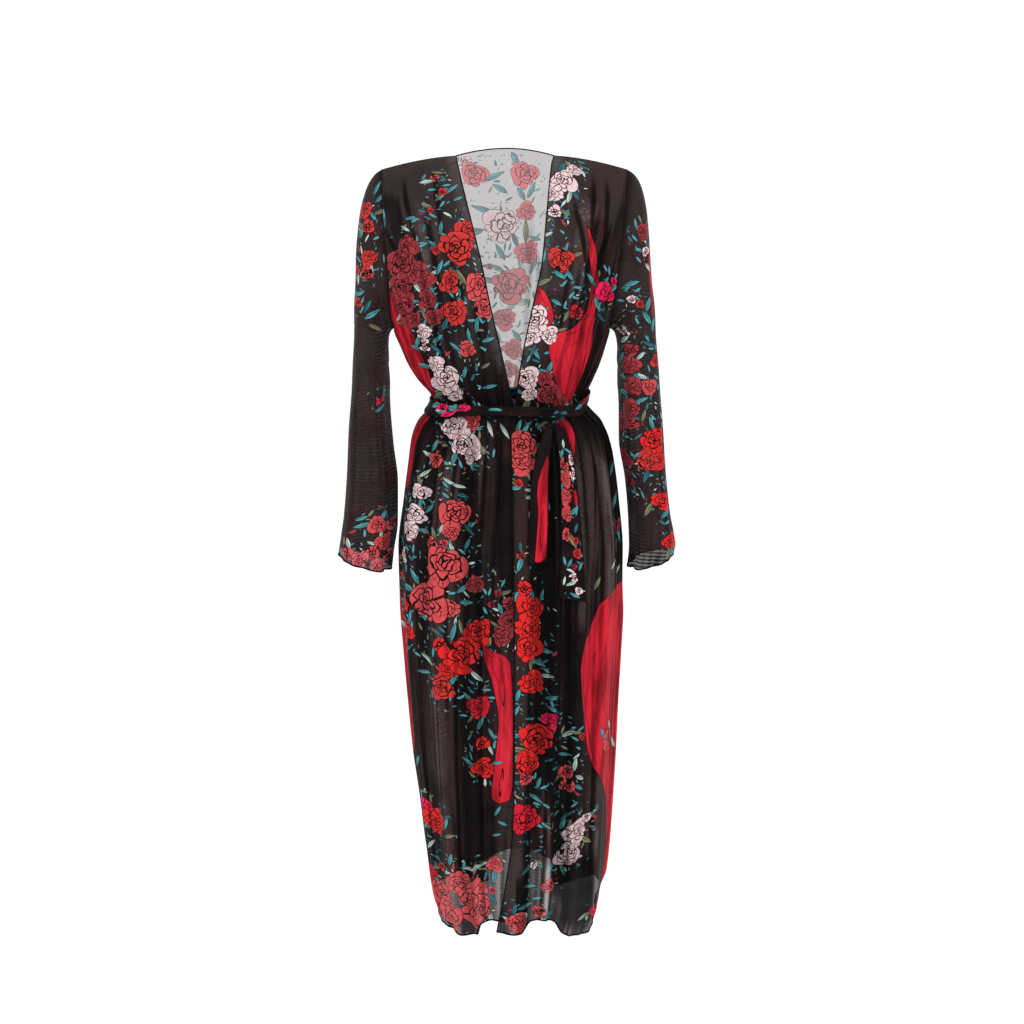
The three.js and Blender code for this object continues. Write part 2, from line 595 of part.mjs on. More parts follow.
// The belt: a rolled band round the waist, level with the front's overlap and clear of it.
function beltMesh() {
  const rows = Array.from({ length: BELT_STEPS }, (_, i) => {
    const angle = i / BELT_STEPS * 360 - 180;
    const lift = OVERLAP_LIFT * smooth((BELT_LIFT_ANGLE - Math.abs(angle)) / OVERLAP_ANGLE);
    const tall = read(BELT_LINE, 'angle', angle, 'tall');
    const middle = BELT_DROP + read(BELT_LINE, 'angle', angle, 'lower');
    return BELT_SECTION.map(({ out, up }) => {
      const drop = middle - up * tall;
      const point = bodyPoint(angle, drop);
      const away = new THREE.Vector3(point.x, point.y * BELT_SQUARENESS, 0).normalize();
      return point.addScaledVector(away, BELT_CLEAR - foldOut(angle, drop) + lift + out * BELT_THICK);
    });
  });
  const n = BELT_SECTION.length;
  const points = rows.flat();
  const faces = [];
  for (let i = 0; i < BELT_STEPS; i += 1) {
    for (let k = 0; k < n; k += 1) {
      const a = i * n + k;
      const b = i * n + (k + 1) % n;
      const c = (i + 1) % BELT_STEPS * n + (k + 1) % n;
      const d = (i + 1) % BELT_STEPS * n + k;
      faces.push(a, c, b, a, d, c);
    }
  }
  const geometry = new THREE.BufferGeometry();
  geometry.setAttribute('position', new THREE.Float32BufferAttribute(points.flatMap((p) => p.toArray()), 3));
  geometry.setIndex(faces);
  geometry.computeVertexNormals();
  return clothMesh('belt', geometry);
}

// A point just in front of the upper front panel, for what hangs on it.
function beforeFront(x, drop, clear) {
  const edge = frontAngleAt(read(FRONT_EDGES, 'drop', drop, 'over'), drop);
  const angle = frontAngleAt(x, drop);
  const point = bodyPoint(angle, drop, overlapLift(angle, edge, drop));
  point.y -= clear;
  point.z = -drop;
  return point;
}

function knotMesh() {
  const clear = BELT_CLEAR + BELT_THICK + OVERLAP_LIFT + KNOT.deep + KNOT_CLEAR;
  const centre = beforeFront(KNOT.x, KNOT.drop, clear);
  const geometry = new THREE.SphereGeometry(1, KNOT_COLUMNS, KNOT_ROWS);
  geometry.scale(KNOT.wide, KNOT.deep, KNOT.tall);
  geometry.translate(centre.x, centre.y, centre.z);
  return clothMesh('belt_knot', geometry);
}

// A flat end of the belt, hanging in front of the skirt with its middle a little proud.
function tailMesh(tail) {
  const first = tail.path[0].drop;
  const last = tail.path[tail.path.length - 1].drop;
  const rows = Array.from({ length: TAIL_ROWS + 1 }, (_, r) => {
    const drop = mix(first, last, r / TAIL_ROWS);
    const wide = read(tail.path, 'drop', drop, 'wide');
    const middle = read(tail.path, 'drop', drop, 'middle');
    const clear = read(tail.path, 'drop', drop, 'clear');
    return Array.from({ length: TAIL_COLUMNS + 1 }, (_, c) => {
      const share = c / TAIL_COLUMNS - 0.5;
      const point = beforeFront(middle + share * wide, drop, clear + tail.thick);
      point.x = middle + share * wide;
      return point;
    });
  });
  for (const row of rows) {
    const nearest = Math.min(...row.map((p) => p.y));
    for (const p of row) p.y = mix(p.y, nearest, TAIL_FLATNESS);
  }
  const inner = rows.map((row) => row.map((p) => p.clone().add(new THREE.Vector3(0, tail.thick, 0))));
  return clothMesh(tail.name, wallGeometry(rows, inner, false, -1), CRIMSON_CLOTH);
}

const kimono = new THREE.Group();
kimono.add(panelMesh('back', backRows(), -1));
kimono.add(panelMesh('front_right', frontRows(false), 1));
kimono.add(panelMesh('front_left', frontRows(true), -1));
kimono.add(sleeveMesh('sleeve_right', SLEEVE_LEFT, false));
kimono.add(sleeveMesh('sleeve_left', SLEEVE_RIGHT, true));
kimono.add(beltMesh());
kimono.add(knotMesh());
for (const tail of TAILS) kimono.add(tailMesh(tail));

export default kimono;
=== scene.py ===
"""The looks of a long sheer kimono robe: its printed net, rolled edges, seams and tie belt.

Sizes in the tables are in millimetres and degrees, as a cutter would give them, and the
finished pieces are in metres. +Z is up and the front faces -Y. Angles run round the body
from the front centre, positive to the viewer's right, and drops go down from the shoulder.
"""
import math
from typing import NamedTuple

import bmesh
import bpy
import numpy as np
from bpy.props import FloatProperty, FloatVectorProperty, IntProperty, PointerProperty
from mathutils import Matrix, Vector


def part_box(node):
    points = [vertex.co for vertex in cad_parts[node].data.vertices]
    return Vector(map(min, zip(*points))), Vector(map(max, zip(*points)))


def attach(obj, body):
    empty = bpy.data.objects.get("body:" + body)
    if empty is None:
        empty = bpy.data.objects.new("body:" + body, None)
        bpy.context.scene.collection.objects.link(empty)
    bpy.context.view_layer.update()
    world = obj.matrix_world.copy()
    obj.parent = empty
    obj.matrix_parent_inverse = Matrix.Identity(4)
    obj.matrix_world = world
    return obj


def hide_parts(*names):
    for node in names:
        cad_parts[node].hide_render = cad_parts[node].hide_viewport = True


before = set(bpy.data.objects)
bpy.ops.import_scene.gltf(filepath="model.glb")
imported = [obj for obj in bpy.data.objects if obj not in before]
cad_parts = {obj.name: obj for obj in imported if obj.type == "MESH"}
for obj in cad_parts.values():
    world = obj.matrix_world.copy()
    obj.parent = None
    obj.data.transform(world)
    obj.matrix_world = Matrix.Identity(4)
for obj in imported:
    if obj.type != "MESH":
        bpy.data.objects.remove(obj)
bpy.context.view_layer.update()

bl_info = {
    "name": "Sheer kimono robe",
    "version": (1, 0, 0),
    "blender": (4, 5, 0),
    "location": "View3D > Sidebar > Kimono",
    "description": "Builds the printed net, rolled edges, seams and tie belt of a sheer robe",
    "category": "Object",
}

MM = 0.001


def table(columns, rows):
    """The named columns of a short table, each an array with a value for each row."""
    values = np.array(rows, float)
    return {name: values[:, k] for k, name in enumerate(columns.split())}


# The form of the cloth, with the same named sizes as its solids
UNDERARM_DROP = 256
HEM_DROP = 1184
BELT_DROP = 368
RING_POWER = 2.3
NECK_LEFT, NECK_RIGHT = -77, 71
NECK_TOP = 4
NAPE_RISE, NAPE_DEPTH = 11, 52
UPPER_BACK_DEPTH = 100
SHOULDER_TIP_TOP = -17
SHOULDER_START, SHOULDER_BOW = 0.35, 1.7
SHOULDER_ARM_SHARE = 0.92
OVERLAP_LIFT, OVERLAP_ANGLE, OVERLAP_FULL_SHARE = 4.2, 16, 0.6
OVERLAP_START, OVERLAP_GROWS_OVER = 300, 60
HEM_WAVES_FROM = 900
UNDER_RISE, UNDER_RISE_ANGLE, UNDER_RISE_OVER = 17, -21, 5
FOLD_FADE, DEEP_FOLD_FADE, DEEP_FOLD = 70, 360, 20
FOLDS_START_OVER = 60
LEAST_DEPTH = 20
GATHERS_ROUND, FINE_GATHERS, FINE_GATHER_SHARE = 31, 2.3, 0.45
GATHER_REACH_UP, GATHER_REACH_DOWN = 70, 90
CREASE_RISE, CREASE_FALL = 45, 110
CREASE_BANK, CREASE_BANK_REACH = 0.45, 2.1
CREASE_LINE_FROM, CREASE_LINE_HALF = 1.2, 0.65
RIPPLES_ROUND, RIPPLE_DEPTH, RIPPLE_START, RIPPLE_GROWS_OVER = 27, 0.9, BELT_DROP + 20, 200
CHEST_RIPPLES, CHEST_RIPPLE_DEPTH, CHEST_START, CHEST_REACH = 19, 0.55, 60, 120
PLEAT_LINE_FROM, PLEAT_LINE_DARK = 0.8, 0.8
HEM_FLUTTER_OVER = 34

# Slow waves: rows of size, times round, shift in degrees and radians for each mm of drop
GATHER_WANDER = ((0.9, 5, 40, 0), (0.6, 3, 0, 0))
RIPPLE_DRIFT = ((1.4, 4, 0, 0.0052), (0.8, 7, 60, 0.011))

# Layers of net that a look through the cloth meets, over the one that it is cut from. The trough layers are painted
# shade in the long folds' troughs and painted light on their ridges. The armhole layers are painted shade where the
# sleeve meets the body
PANEL_FOLD_LAYERS, SLEEVE_FOLD_LAYERS, FOLD_SHARE = 2.3, 2.1, 0.6
LEAST_SPACING = 0.05
TROUGH_SHADE_LAYERS, DEEP_TROUGH, RIDGE_LIGHT = 0.5, 7, -0.3
BELT_LAYERS, BELT_LAYERS_REACH = 0.7, 55
ARMHOLE_SHADE_LAYERS, ARMHOLE_LAYERS_REACH = 0.5, 0.1
LEAST_LAYERS = 0.5

# drop is the depth below the shoulder line, left and right the sides, front and back the
# depths at the centre, and arm the depth of the armhole's edge
BODY = table("drop left right front back arm", [
    (0, -190, 182, 0, 0, 0), (12, -189, 181, 27, 28, 17), (30, -188, 179, 49, 50, 31),
    (60, -186, 176, 72, 71, 45), (110, -182, 171, 97, 89, 56), (170, -178, 165, 116, 97, 58),
    (215, -176, 161, 122, 97, 45), (240, -175, 159, 123, 96, 27), (256, -174, 158, 122, 95, 0),
    (287, -162, 150, 117, 92, 0), (312, -151, 141, 110, 88, 0), (336, -135, 130, 102, 84, 0),
    (355, -118, 121, 95, 80, 0), (368, -112, 118, 92, 79, 0), (382, -121, 128, 94, 82, 0),
    (400, -137, 145, 98, 90, 0), (425, -147, 157, 104, 100, 0), (462, -153, 166, 110, 110, 0),
    (520, -161, 174, 117, 121, 0), (602, -170, 181, 124, 130, 0), (690, -169, 181, 129, 135, 0),
    (770, -164, 178, 133, 139, 0), (850, -158, 174, 137, 142, 0), (932, -151, 171, 141, 145, 0),
    (1020, -140, 167, 145, 148, 0), (1095, -132, 163, 148, 150, 0), (1150, -124, 158, 151, 150, 0),
    (1184, -114, 148, 152, 149, 0),
])

# Where the two front edges run, from the neck points down to the hem
FRONT_EDGES = table("drop under over", [
    (0, -77, 71), (12, -74, 67), (80, -56, 59), (150, -38, 52), (215, -24, 38), (270, -11, 26),
    (320, 0, 18), (352, 7, 14), (368, 11, 12), (400, 22, 6), (470, 31, 7), (620, 36, 10),
    (900, 39, 11), (1020, 38, 8), (1110, 35, -3), (1184, 31, -16),
])

HEM_LINE = table("angle lower", [
    (-180, -20), (-168, -14), (-148, 14), (-120, 0), (-92, -10), (-74, -12), (-58, 9), (-34, 9),
    (-22, 5), (-12, -4), (6, -3), (11, -17), (18, -22), (27, -14), (32, 6), (42, 18), (54, 21),
    (67, 13), (82, -16), (98, -24), (118, 0), (136, 16), (153, -14), (165, -20), (180, -20),
])


class Fold(NamedTuple):
    """A soft trough or ridge: its angles at the waist and hem, its ends, depth and half width."""
    waist: float
    hem: float
    start: float
    end: float
    out: float
    half: float


# The long folds, as in the solids
FOLDS = [Fold(*row) for row in (
    (-6, -10, 395, 1184, -6.5, 4.2), (-13, -17, 400, 1184, 5.0, 4.8), (-20, -25, 390, 1184, -5.0, 4.0),
    (-31, -37, 410, 1184, 5.5, 7.0), (-44, -53, 395, 1150, -4.5, 5.5), (-58, -66, 430, 1184, 4.0, 6.5),
    (-74, -79, 520, 1184, -4.5, 5.5), (6, 3, 420, 1184, 3.0, 5.0), (16, 12, 390, 1184, -7.5, 4.0),
    (23, 19, 400, 1184, 5.0, 4.2), (29, 26, 390, 1184, -6.0, 4.0), (37, 34, 430, 1184, 4.5, 5.0),
    (46, 43, 560, 1184, -4.5, 4.6), (58, 56, 420, 1184, 4.5, 7.0), (72, 74, 400, 1184, -4.5, 6.0),
    (88, 87, 640, 1184, 3.0, 5.5), (104, 101, 390, 1184, -6.0, 5.5), (117, 114, 430, 1184, 5.5, 6.0),
    (131, 129, 395, 1184, -5.0, 5.5), (137, 136, 760, 1184, -46, 13), (145, 143, 400, 1184, 6.0, 6.0),
    (158, 157, 390, 1184, -7.0, 5.5), (172, 172, 410, 1184, 6.5, 6.5), (-174, -171, 390, 1184, -6.0, 5.5),
    (-161, -158, 420, 1184, 6.0, 6.0), (-147, -144, 395, 1184, -5.0, 5.5), (-148, -148, 760, 1184, -46, 13),
    (-133, -131, 430, 1184, 5.0, 6.0), (-119, -116, 400, 1184, -5.5, 5.5), (-104, -101, 470, 1184, 4.5, 6.0),
    (-24, -24, 70, 352, -3.5, 5.0), (-36, -36, 50, 350, 3.0, 5.0), (-47, -47, 60, 345, -3.5, 5.0),
    (33, 33, 60, 352, 3.0, 5.0), (43, 43, 80, 350, -3.5, 4.6), (54, 54, 50, 345, 2.5, 4.6),
    (118, 118, 120, 350, 3.0, 6.5), (140, 140, 90, 350, -3.5, 7.0), (163, 163, 150, 352, 3.0, 7.0),
    (-170, -170, 120, 352, -3.0, 6.5), (-145, -145, 80, 350, 3.0, 7.0), (-122, -122, 140, 350, -3.5, 6.5),
)]

# Finer creases: narrow troughs that lean as they fall. Their angles are at their own two ends.
CREASES = [Fold(*row) for row in (
    (-30, -27, 62, 300, -2.2, 1.7), (-38, -31, 92, 352, -2.4, 1.8), (-53, -43, 110, 350, -2.0, 1.9),
    (-60, -50, 150, 345, -1.8, 1.8), (-18, -16, 150, 352, -1.8, 1.6), (-66, -52, 215, 350, -1.8, 2.0),
    (38, 36, 58, 330, -2.3, 1.7), (46, 41, 90, 350, -2.2, 1.7), (57, 47, 130, 350, -2.0, 1.8),
    (63, 52, 180, 348, -1.8, 1.8), (27, 26, 120, 352, -1.6, 1.5), (68, 55, 232, 352, -1.6, 2.0),
    (-9, -13, 384, 800, -2.2, 1.4), (-16, -20, 380, 1100, -2.0, 1.3), (-26, -32, 384, 900, -2.2, 1.5),
    (-36, -41, 380, 1184, -1.8, 1.6), (-40, -47, 384, 700, -1.8, 1.4), (-50, -58, 390, 1184, -1.7, 1.7),
    (-64, -70, 400, 980, -1.7, 1.8), (-80, -84, 420, 1184, -1.6, 1.9), (2, 0, 384, 900, -1.6, 1.3),
    (10, 8, 380, 1184, -2.0, 1.2), (20, 16, 382, 1184, -2.4, 1.2), (25, 22, 380, 1184, -2.4, 1.2),
    (33, 30, 384, 1184, -2.2, 1.3), (41, 38, 384, 860, -1.9, 1.5), (51, 49, 384, 1184, -1.9, 1.5),
    (65, 66, 390, 1060, -1.8, 1.7), (80, 81, 400, 1184, -1.7, 1.8), (96, 94, 390, 1184, -2.0, 1.8),
    (111, 108, 384, 1000, -2.0, 1.8), (124, 121, 384, 1184, -2.0, 1.7), (151, 150, 384, 1184, -2.2, 1.7),
    (165, 165, 384, 900, -2.0, 1.6), (178, 178, 384, 1184, -2.0, 1.6), (-168, -165, 384, 1184, -2.2, 1.7),
    (-154, -151, 384, 960, -2.0, 1.7), (-140, -138, 384, 1184, -2.0, 1.7), (-126, -123, 384, 1184, -2.0, 1.8),
    (-112, -109, 390, 1080, -2.0, 1.8), (-96, -94, 400, 1184, -1.8, 1.8),
    (-40, -37, 16, 150, -2.6, 1.3), (-44, -44, 34, 150, -2.4, 1.3), (-25, -23, 14, 170, -2.2, 1.3),
    (-32, -35, 176, 352, -2.4, 1.4), (-12, -9, 190, 352, -2.0, 1.2), (-57, -40, 80, 240, -2.4, 1.5),
    (33, 38, 14, 170, -2.6, 1.3), (40, 49, 16, 190, -2.6, 1.3), (23, 45, 46, 230, -2.2, 1.3),
    (47, 43, 74, 220, -2.4, 1.3), (53, 45, 140, 320, -2.4, 1.4), (61, 49, 160, 350, -2.4, 1.5),
    (-24, -30, 690, 1130, -2.4, 1.0), (-10, -14, 620, 1184, -2.8, 0.9), (52, 45, 420, 600, -2.4, 1.1),
    (71, 70, 396, 760, -2.2, 1.3), (-3, -5, 384, 640, -2.2, 1.1), (28, 32, 640, 1184, -2.6, 1.1),
    (108, 124, 96, 350, -2.2, 2.4), (128, 134, 60, 340, -2.0, 2.4), (150, 152, 120, 352, -2.0, 2.2),
    (172, 171, 90, 340, -1.8, 2.2), (-158, -157, 110, 352, -2.0, 2.4), (-136, -140, 70, 350, -2.2, 2.4),
    (-112, -126, 120, 350, -2.0, 2.4),
)]


class Band(NamedTuple):
    """A long zone of pleats: its angles and drops at its ends, half width and extra layers."""
    top: float
    bottom: float
    start: float
    end: float
    half: float
    layers: float


BANDS = {
    "under": [Band(*row) for row in (
        (-33, -30, 430, 745, 9, -0.3), (-18, -15, 400, 730, 4.6, 0.9), (-9, -7, 372, 690, 4.6, -0.34),
        (0, 0, 430, 720, 3, 0.7), (-46, -50, 420, 780, 4, 0.45), (-62, -66, 410, 1000, 5, 0.4),
        (-39, -44, 750, 970, 11, -0.32), (-16, -20, 690, 1130, 6, 0.85), (-36, -40, 960, 1100, 5, -0.2),
        (-17, -25, 176, 352, 4.4, -0.25), (-29, -29, 50, 200, 6, -0.3), (-50, -46, 30, 130, 4, 0.5),
        (-60, -48, 200, 352, 3, 0.5), (-2, 2, 744, 1000, 8, -0.2), (-9, -9, 1080, 1230, 6, -0.36),
    )],
    "over": [Band(*row) for row in (
        (18, 16, 385, 730, 7.5, 1.1), (16, 19, 700, 920, 6.5, 1.1), (21, 27, 880, 1150, 4.6, 1.7),
        (60, 50, 405, 690, 15, -0.34), (73, 72, 400, 700, 3, 0.6), (16, 17, 930, 1070, 3.2, -0.55),
        (32, 35, 690, 1120, 6.5, 0.7), (48, 51, 925, 1080, 4.6, -0.4), (40, 42, 1050, 1183, 12, 1.5),
        (6, 7, 1085, 1230, 3.2, 1.2), (16, 18, 1075, 1230, 6, -0.42), (33, 32, 50, 230, 5.5, -0.3),
        (56, 50, 40, 200, 5, 0.35), (30, 30, 230, 300, 5, -0.3),
        (62, 54, 220, 352, 4, 0.7), (45, 46, 700, 940, 8, -0.25),
    )],
    "back": [Band(*row) for row in (
        (168, 168, 400, 1184, 4, 0.5), (-160, -162, 395, 1184, 5, 0.5), (-140, -138, 395, 1100, 4, 0.4),
        (150, 148, 395, 1184, 4, 0.5), (126, 124, 400, 1000, 5, 0.4), (-118, -116, 400, 1184, 4, 0.4),
    )],
}

# Sleeves from the armhole to the cuff: outer and inner points seen from the front, depths, and
# how far the section still is the armhole
SLEEVE_COLUMNS = "at outX outZ inX inZ front back loop"
SLEEVES = {
    "right": table(SLEEVE_COLUMNS, [
        (0.0, -190, -17, -174, -256, 56, 56, 1), (0.06, -207, -27, -180, -259, 59, 59, 0.6),
        (0.12, -218, -47, -182, -264, 61, 62, 0.28), (0.2, -226, -86, -183, -272, 62, 64, 0.08),
        (0.3, -230, -142, -183, -286, 61, 64, 0), (0.4, -233, -205, -183, -306, 60, 62, 0),
        (0.5, -236, -275, -182, -336, 58, 60, 0), (0.6, -240, -345, -181, -380, 57, 58, 0),
        (0.7, -246, -415, -177, -436, 56, 56, 0), (0.8, -250, -482, -171, -495, 56, 55, 0),
        (0.9, -256, -548, -172, -560, 57, 55, 0), (0.97, -262, -594, -180, -612, 58, 55, 0),
        (1.0, -262, -611, -184, -634, 58, 55, 0),
    ]),
    "left": table(SLEEVE_COLUMNS, [
        (0.0, 182, -17, 158, -256, 56, 56, 1), (0.06, 200, -27, 165, -259, 59, 59, 0.6),
        (0.12, 210, -47, 168, -264, 61, 62, 0.28), (0.2, 215, -86, 169, -272, 62, 64, 0.08),
        (0.3, 218, -144, 170, -286, 61, 64, 0), (0.4, 224, -206, 170, -306, 60, 62, 0),
        (0.5, 230, -275, 171, -336, 58, 60, 0), (0.6, 236, -345, 173, -380, 57, 58, 0),
        (0.7, 242, -412, 174, -430, 56, 56, 0), (0.8, 247, -478, 184, -490, 56, 55, 0),
        (0.9, 255, -544, 190, -555, 57, 55, 0), (0.97, 263, -590, 192, -608, 58, 55, 0),
        (1.0, 258, -610, 191, -630, 58, 55, 0),
    ]),
}
SLEEVE_POWER = 2.1
SLEEVE_FOLD_FADE = 0.12
SLEEVE_CREASE_RISE, SLEEVE_CREASE_FALL = 0.06, 0.12
SLEEVE_BANK, SLEEVE_BANK_REACH = 0.4, 2
ELBOW, ELBOW_REACH, ELBOW_WAVES, ELBOW_DEPTH = 0.42, 0.13, 46, 1.1
CUFF_FLUTTER_FROM, CUFF_FLUTTER_OVER = 0.95, 0.05
SLEEVE_ROW_SPACING = 0.95


class SleeveFold(NamedTuple):
    """A fold of a sleeve, at an angle from its outer line, positive to the front."""
    round: float
    start: float
    end: float
    out: float
    half: float
    lean: float = 0


SLEEVE_FOLDS = [SleeveFold(*row) for row in (
    (62, 0.16, 0.62, -4.0, 20), (118, 0.3, 0.85, 3.0, 22), (150, 0.45, 1.0, -4.0, 18),
    (84, 0.62, 1.0, -4.0, 18), (40, 0.55, 1.0, 3.0, 18), (-58, 0.18, 0.7, -4.0, 20),
    (-100, 0.4, 1.0, 3.5, 20), (-140, 0.5, 1.0, -4.0, 18),
)]
SLEEVE_CREASES = [SleeveFold(*row) for row in (
    (96, 0.1, 0.4, -2.4, 6, -30), (70, 0.05, 0.34, -2.2, 6, -26), (122, 0.14, 0.5, -2.2, 7, -20),
    (104, 0.42, 1.0, -2.2, 6, 8), (132, 0.5, 1.0, -1.8, 6, 4), (60, 0.5, 1.0, -1.8, 7, -6),
    (30, 0.62, 1.0, -1.6, 7, 6), (-84, 0.08, 0.44, -2.2, 7, 26), (-112, 0.12, 0.5, -2.2, 7, 20),
    (-70, 0.46, 1.0, -2.0, 7, -6), (-120, 0.5, 1.0, -1.8, 7, 4), (-30, 0.55, 1.0, -1.6, 7, 4),
)]

# The belt's line, its two hanging ends, and how it sits
BELT_CLEAR, BELT_THICK = 4.2, 4.2
BELT_LIFT_ANGLE = 42
BELT_SQUARENESS = 1.5
BELT_SECTION_LENGTH, BELT_PRINT_START = 42, 380
KNOT_PRINT_START = 3
BELT_LINE = table("angle lower tall", [
    (-180, 0, 19), (-90, 5, 21), (-50, 6, 20), (-10, 2, 15), (25, 4, 14), (48, 6, 17),
    (90, -7, 17), (135, -6, 18), (180, 0, 19),
])
TAIL_COLUMNS = "drop middle wide clear"
TAILS = {
    "short": table(TAIL_COLUMNS, [
        (389.6, 64.6, 9, 10.5), (404, 61, 13, 6.5), (440, 54, 19, 3.6), (480, 49, 25, 3.2),
        (540, 48, 27, 3.2), (596, 46, 28, 3.6),
    ]),
    "long": table(TAIL_COLUMNS, [
        (388.9, 74, 6.5, 15), (404, 80, 13, 6.5), (450, 90, 21, 3.4), (520, 95, 27, 3.2),
        (590, 98, 34, 3.2), (655, 99, 41, 3.6),
    ]),
}
TAIL_FLATNESS = 0.75
TAIL_THICK = 1.6
TAIL_SLANT = {"short": 5, "long": -7}
TAIL_COVER, BELT_COVER = 0.985, 0.99
BELT_GATHER_DEPTH = 1.9


def rad(degrees):
    return degrees * math.pi / 180


def mix(a, b, t):
    return a + (b - a) * t


def smooth(x):
    t = np.clip(x, 0, 1)
    return t * t * (3 - 2 * t)


def bell(away):
    return np.exp(-away * away)


def waves(angle, rows, drop=0.0):
    return sum(size * np.sin(rad(angle * times + shift) + drop * slope) for size, times, shift, slope in rows)


def turn_between(a, b):
    """The turn from b to a, from -180 to 180 degrees."""
    return (np.asarray(a) - b + 180) % 360 - 180


def read(rows, key, place, column):
    """A column of a table at places between its rows, on a curve with no overshoot."""
    knots, values = rows[key], rows[column]
    place = np.clip(place, knots[0], knots[-1])
    i = np.clip(np.searchsorted(knots, place, side="right") - 1, 0, len(knots) - 2)
    slopes = np.diff(values) / np.diff(knots)
    tangents = np.concatenate([slopes[:1], np.zeros(len(slopes) - 1), slopes[-1:]])
    product, total = slopes[:-1] * slopes[1:], slopes[:-1] + slopes[1:]
    rising = product > 0
    tangents[1:-1][rising] = 2 * product[rising] / total[rising]
    width = knots[i + 1] - knots[i]
    t = (place - knots[i]) / width
    bend = (1 - t) * t * ((1 - t) * tangents[i] - t * tangents[i + 1]) * width
    return mix(values[i], values[i + 1], t * t * (3 - 2 * t)) + bend


def body(drop, column):
    return read(BODY, "drop", drop, column)


def fade_ends(place, fold, last, rise, fall):
    """1 between a fold's ends and 0 past them. A fold that runs on to the last edge stays 1 there."""
    ends = smooth((place - fold.start) / rise)
    return ends * smooth((fold.end - place) / fall) if fold.end < last else ends


def share_along(place, fold):
    return np.clip((place - fold.start) / (fold.end - fold.start), 0, 1)


def fold_out(angle, drop):
    """How far the long folds move the cloth out, as in the solids."""
    out = np.zeros(np.broadcast(angle, drop).shape)
    along = np.clip((drop - BELT_DROP) / (HEM_DROP - BELT_DROP), 0, 1)
    for fold in FOLDS:
        away = turn_between(angle, fold.waist + turn_between(fold.hem, fold.waist) * along) / fold.half
        fade = DEEP_FOLD_FADE if abs(fold.out) > DEEP_FOLD else FOLD_FADE
        out = out + fold.out * fade_ends(drop, fold, HEM_DROP, fade, fade) * bell(away)
    return out


def gather_out(angle, drop, depth):
    """The gathers that the belt pulls in, which fade out above and below it."""
    near = bell((drop - BELT_DROP) / np.where(drop < BELT_DROP, GATHER_REACH_UP, GATHER_REACH_DOWN))
    wander = waves(angle, GATHER_WANDER)
    coarse = np.sin(rad(angle * GATHERS_ROUND) + wander)
    fine = np.sin(rad(angle * FINE_GATHERS * GATHERS_ROUND) + 2 * wander + drop * 0.006)
    return depth * near * (coarse + FINE_GATHER_SHARE * fine)


def crease_out(angle, drop, share):
    """Finer creases with the slow ripples between them, and how dark the lines in their troughs are: extra net
    layers where the cloth folds in, with painted shade along the folds.
    """
    out = np.zeros(np.broadcast(angle, drop).shape)
    dark = np.zeros(out.shape)
    for crease in CREASES:
        middle = crease.waist + turn_between(crease.hem, crease.waist) * share_along(drop, crease)
        away = turn_between(angle, middle) / crease.half
        ends = fade_ends(drop, crease, HEM_DROP, CREASE_RISE, CREASE_FALL)
        out = out + crease.out * ends * (bell(away) - CREASE_BANK * bell(away / CREASE_BANK_REACH))
        # Painted shade: a dark line along the bottom of each deep crease, partly the net folded over there
        dark = dark + np.maximum(-crease.out - CREASE_LINE_FROM, 0) * ends * bell(away / CREASE_LINE_HALF)
    drift = waves(angle, RIPPLE_DRIFT, drop)
    ripple = np.sin(rad(angle * RIPPLES_ROUND) + drift) * smooth((drop - RIPPLE_START) / RIPPLE_GROWS_OVER)
    chest = (np.sin(rad(angle * CHEST_RIPPLES) + drift) * smooth((BELT_DROP - drop) / CHEST_REACH)
             * smooth((drop - CHEST_START) / CHEST_REACH))
    # Painted shade: dark lines in the troughs of the ripples
    lines = np.clip(-ripple - chest - PLEAT_LINE_FROM, 0, 1 - PLEAT_LINE_FROM) / (1 - PLEAT_LINE_FROM)
    lines = lines * (0.5 + 0.5 * np.sin(rad(angle * 11) + drop * 0.006))
    return (share * (out + RIPPLE_DEPTH * ripple + CHEST_RIPPLE_DEPTH * chest),
            share * (dark + PLEAT_LINE_DARK * lines))


def band_layers(kind, angle, drop):
    """Extra layers, or fewer, in the long zones where pleats lie over each other or part."""
    layers = np.zeros(angle.shape)
    for band in BANDS[kind]:
        middle = mix(band.top, band.bottom, share_along(drop, band))
        away = np.abs(turn_between(angle, middle)) / band.half
        layers = layers + band.layers * fade_ends(drop, band, HEM_DROP, 30, 40) * (1 - smooth((away - 0.8) / 0.3))
    return layers


def hem_flutter(angle, drop):
    """Small waves that the rolled hem pushes into the last of the cloth."""
    near = smooth((drop - HEM_DROP + HEM_FLUTTER_OVER) / HEM_FLUTTER_OVER)
    return near * (1.6 * np.sin(rad(angle * 17) + 1.2 * np.sin(rad(angle * 3))) + 0.8 * np.sin(rad(angle * 41)))


def arm_share(drop, column):
    """Share of the half width at which the armhole cuts the ring at a drop."""
    deep, arm = body(drop, column), body(drop, "arm")
    cut = (1 - np.clip(arm / np.maximum(deep, 1e-6), 0, 1) ** RING_POWER) ** (1 / RING_POWER)
    return np.where(deep < 1e-6, SHOULDER_ARM_SHARE, cut)


def side_angle(drop, column):
    """Angle of the armhole's edge or side seam on the front or back."""
    return np.degrees(np.arcsin(np.clip(arm_share(drop, column), 0, 1) ** (RING_POWER / 2)))


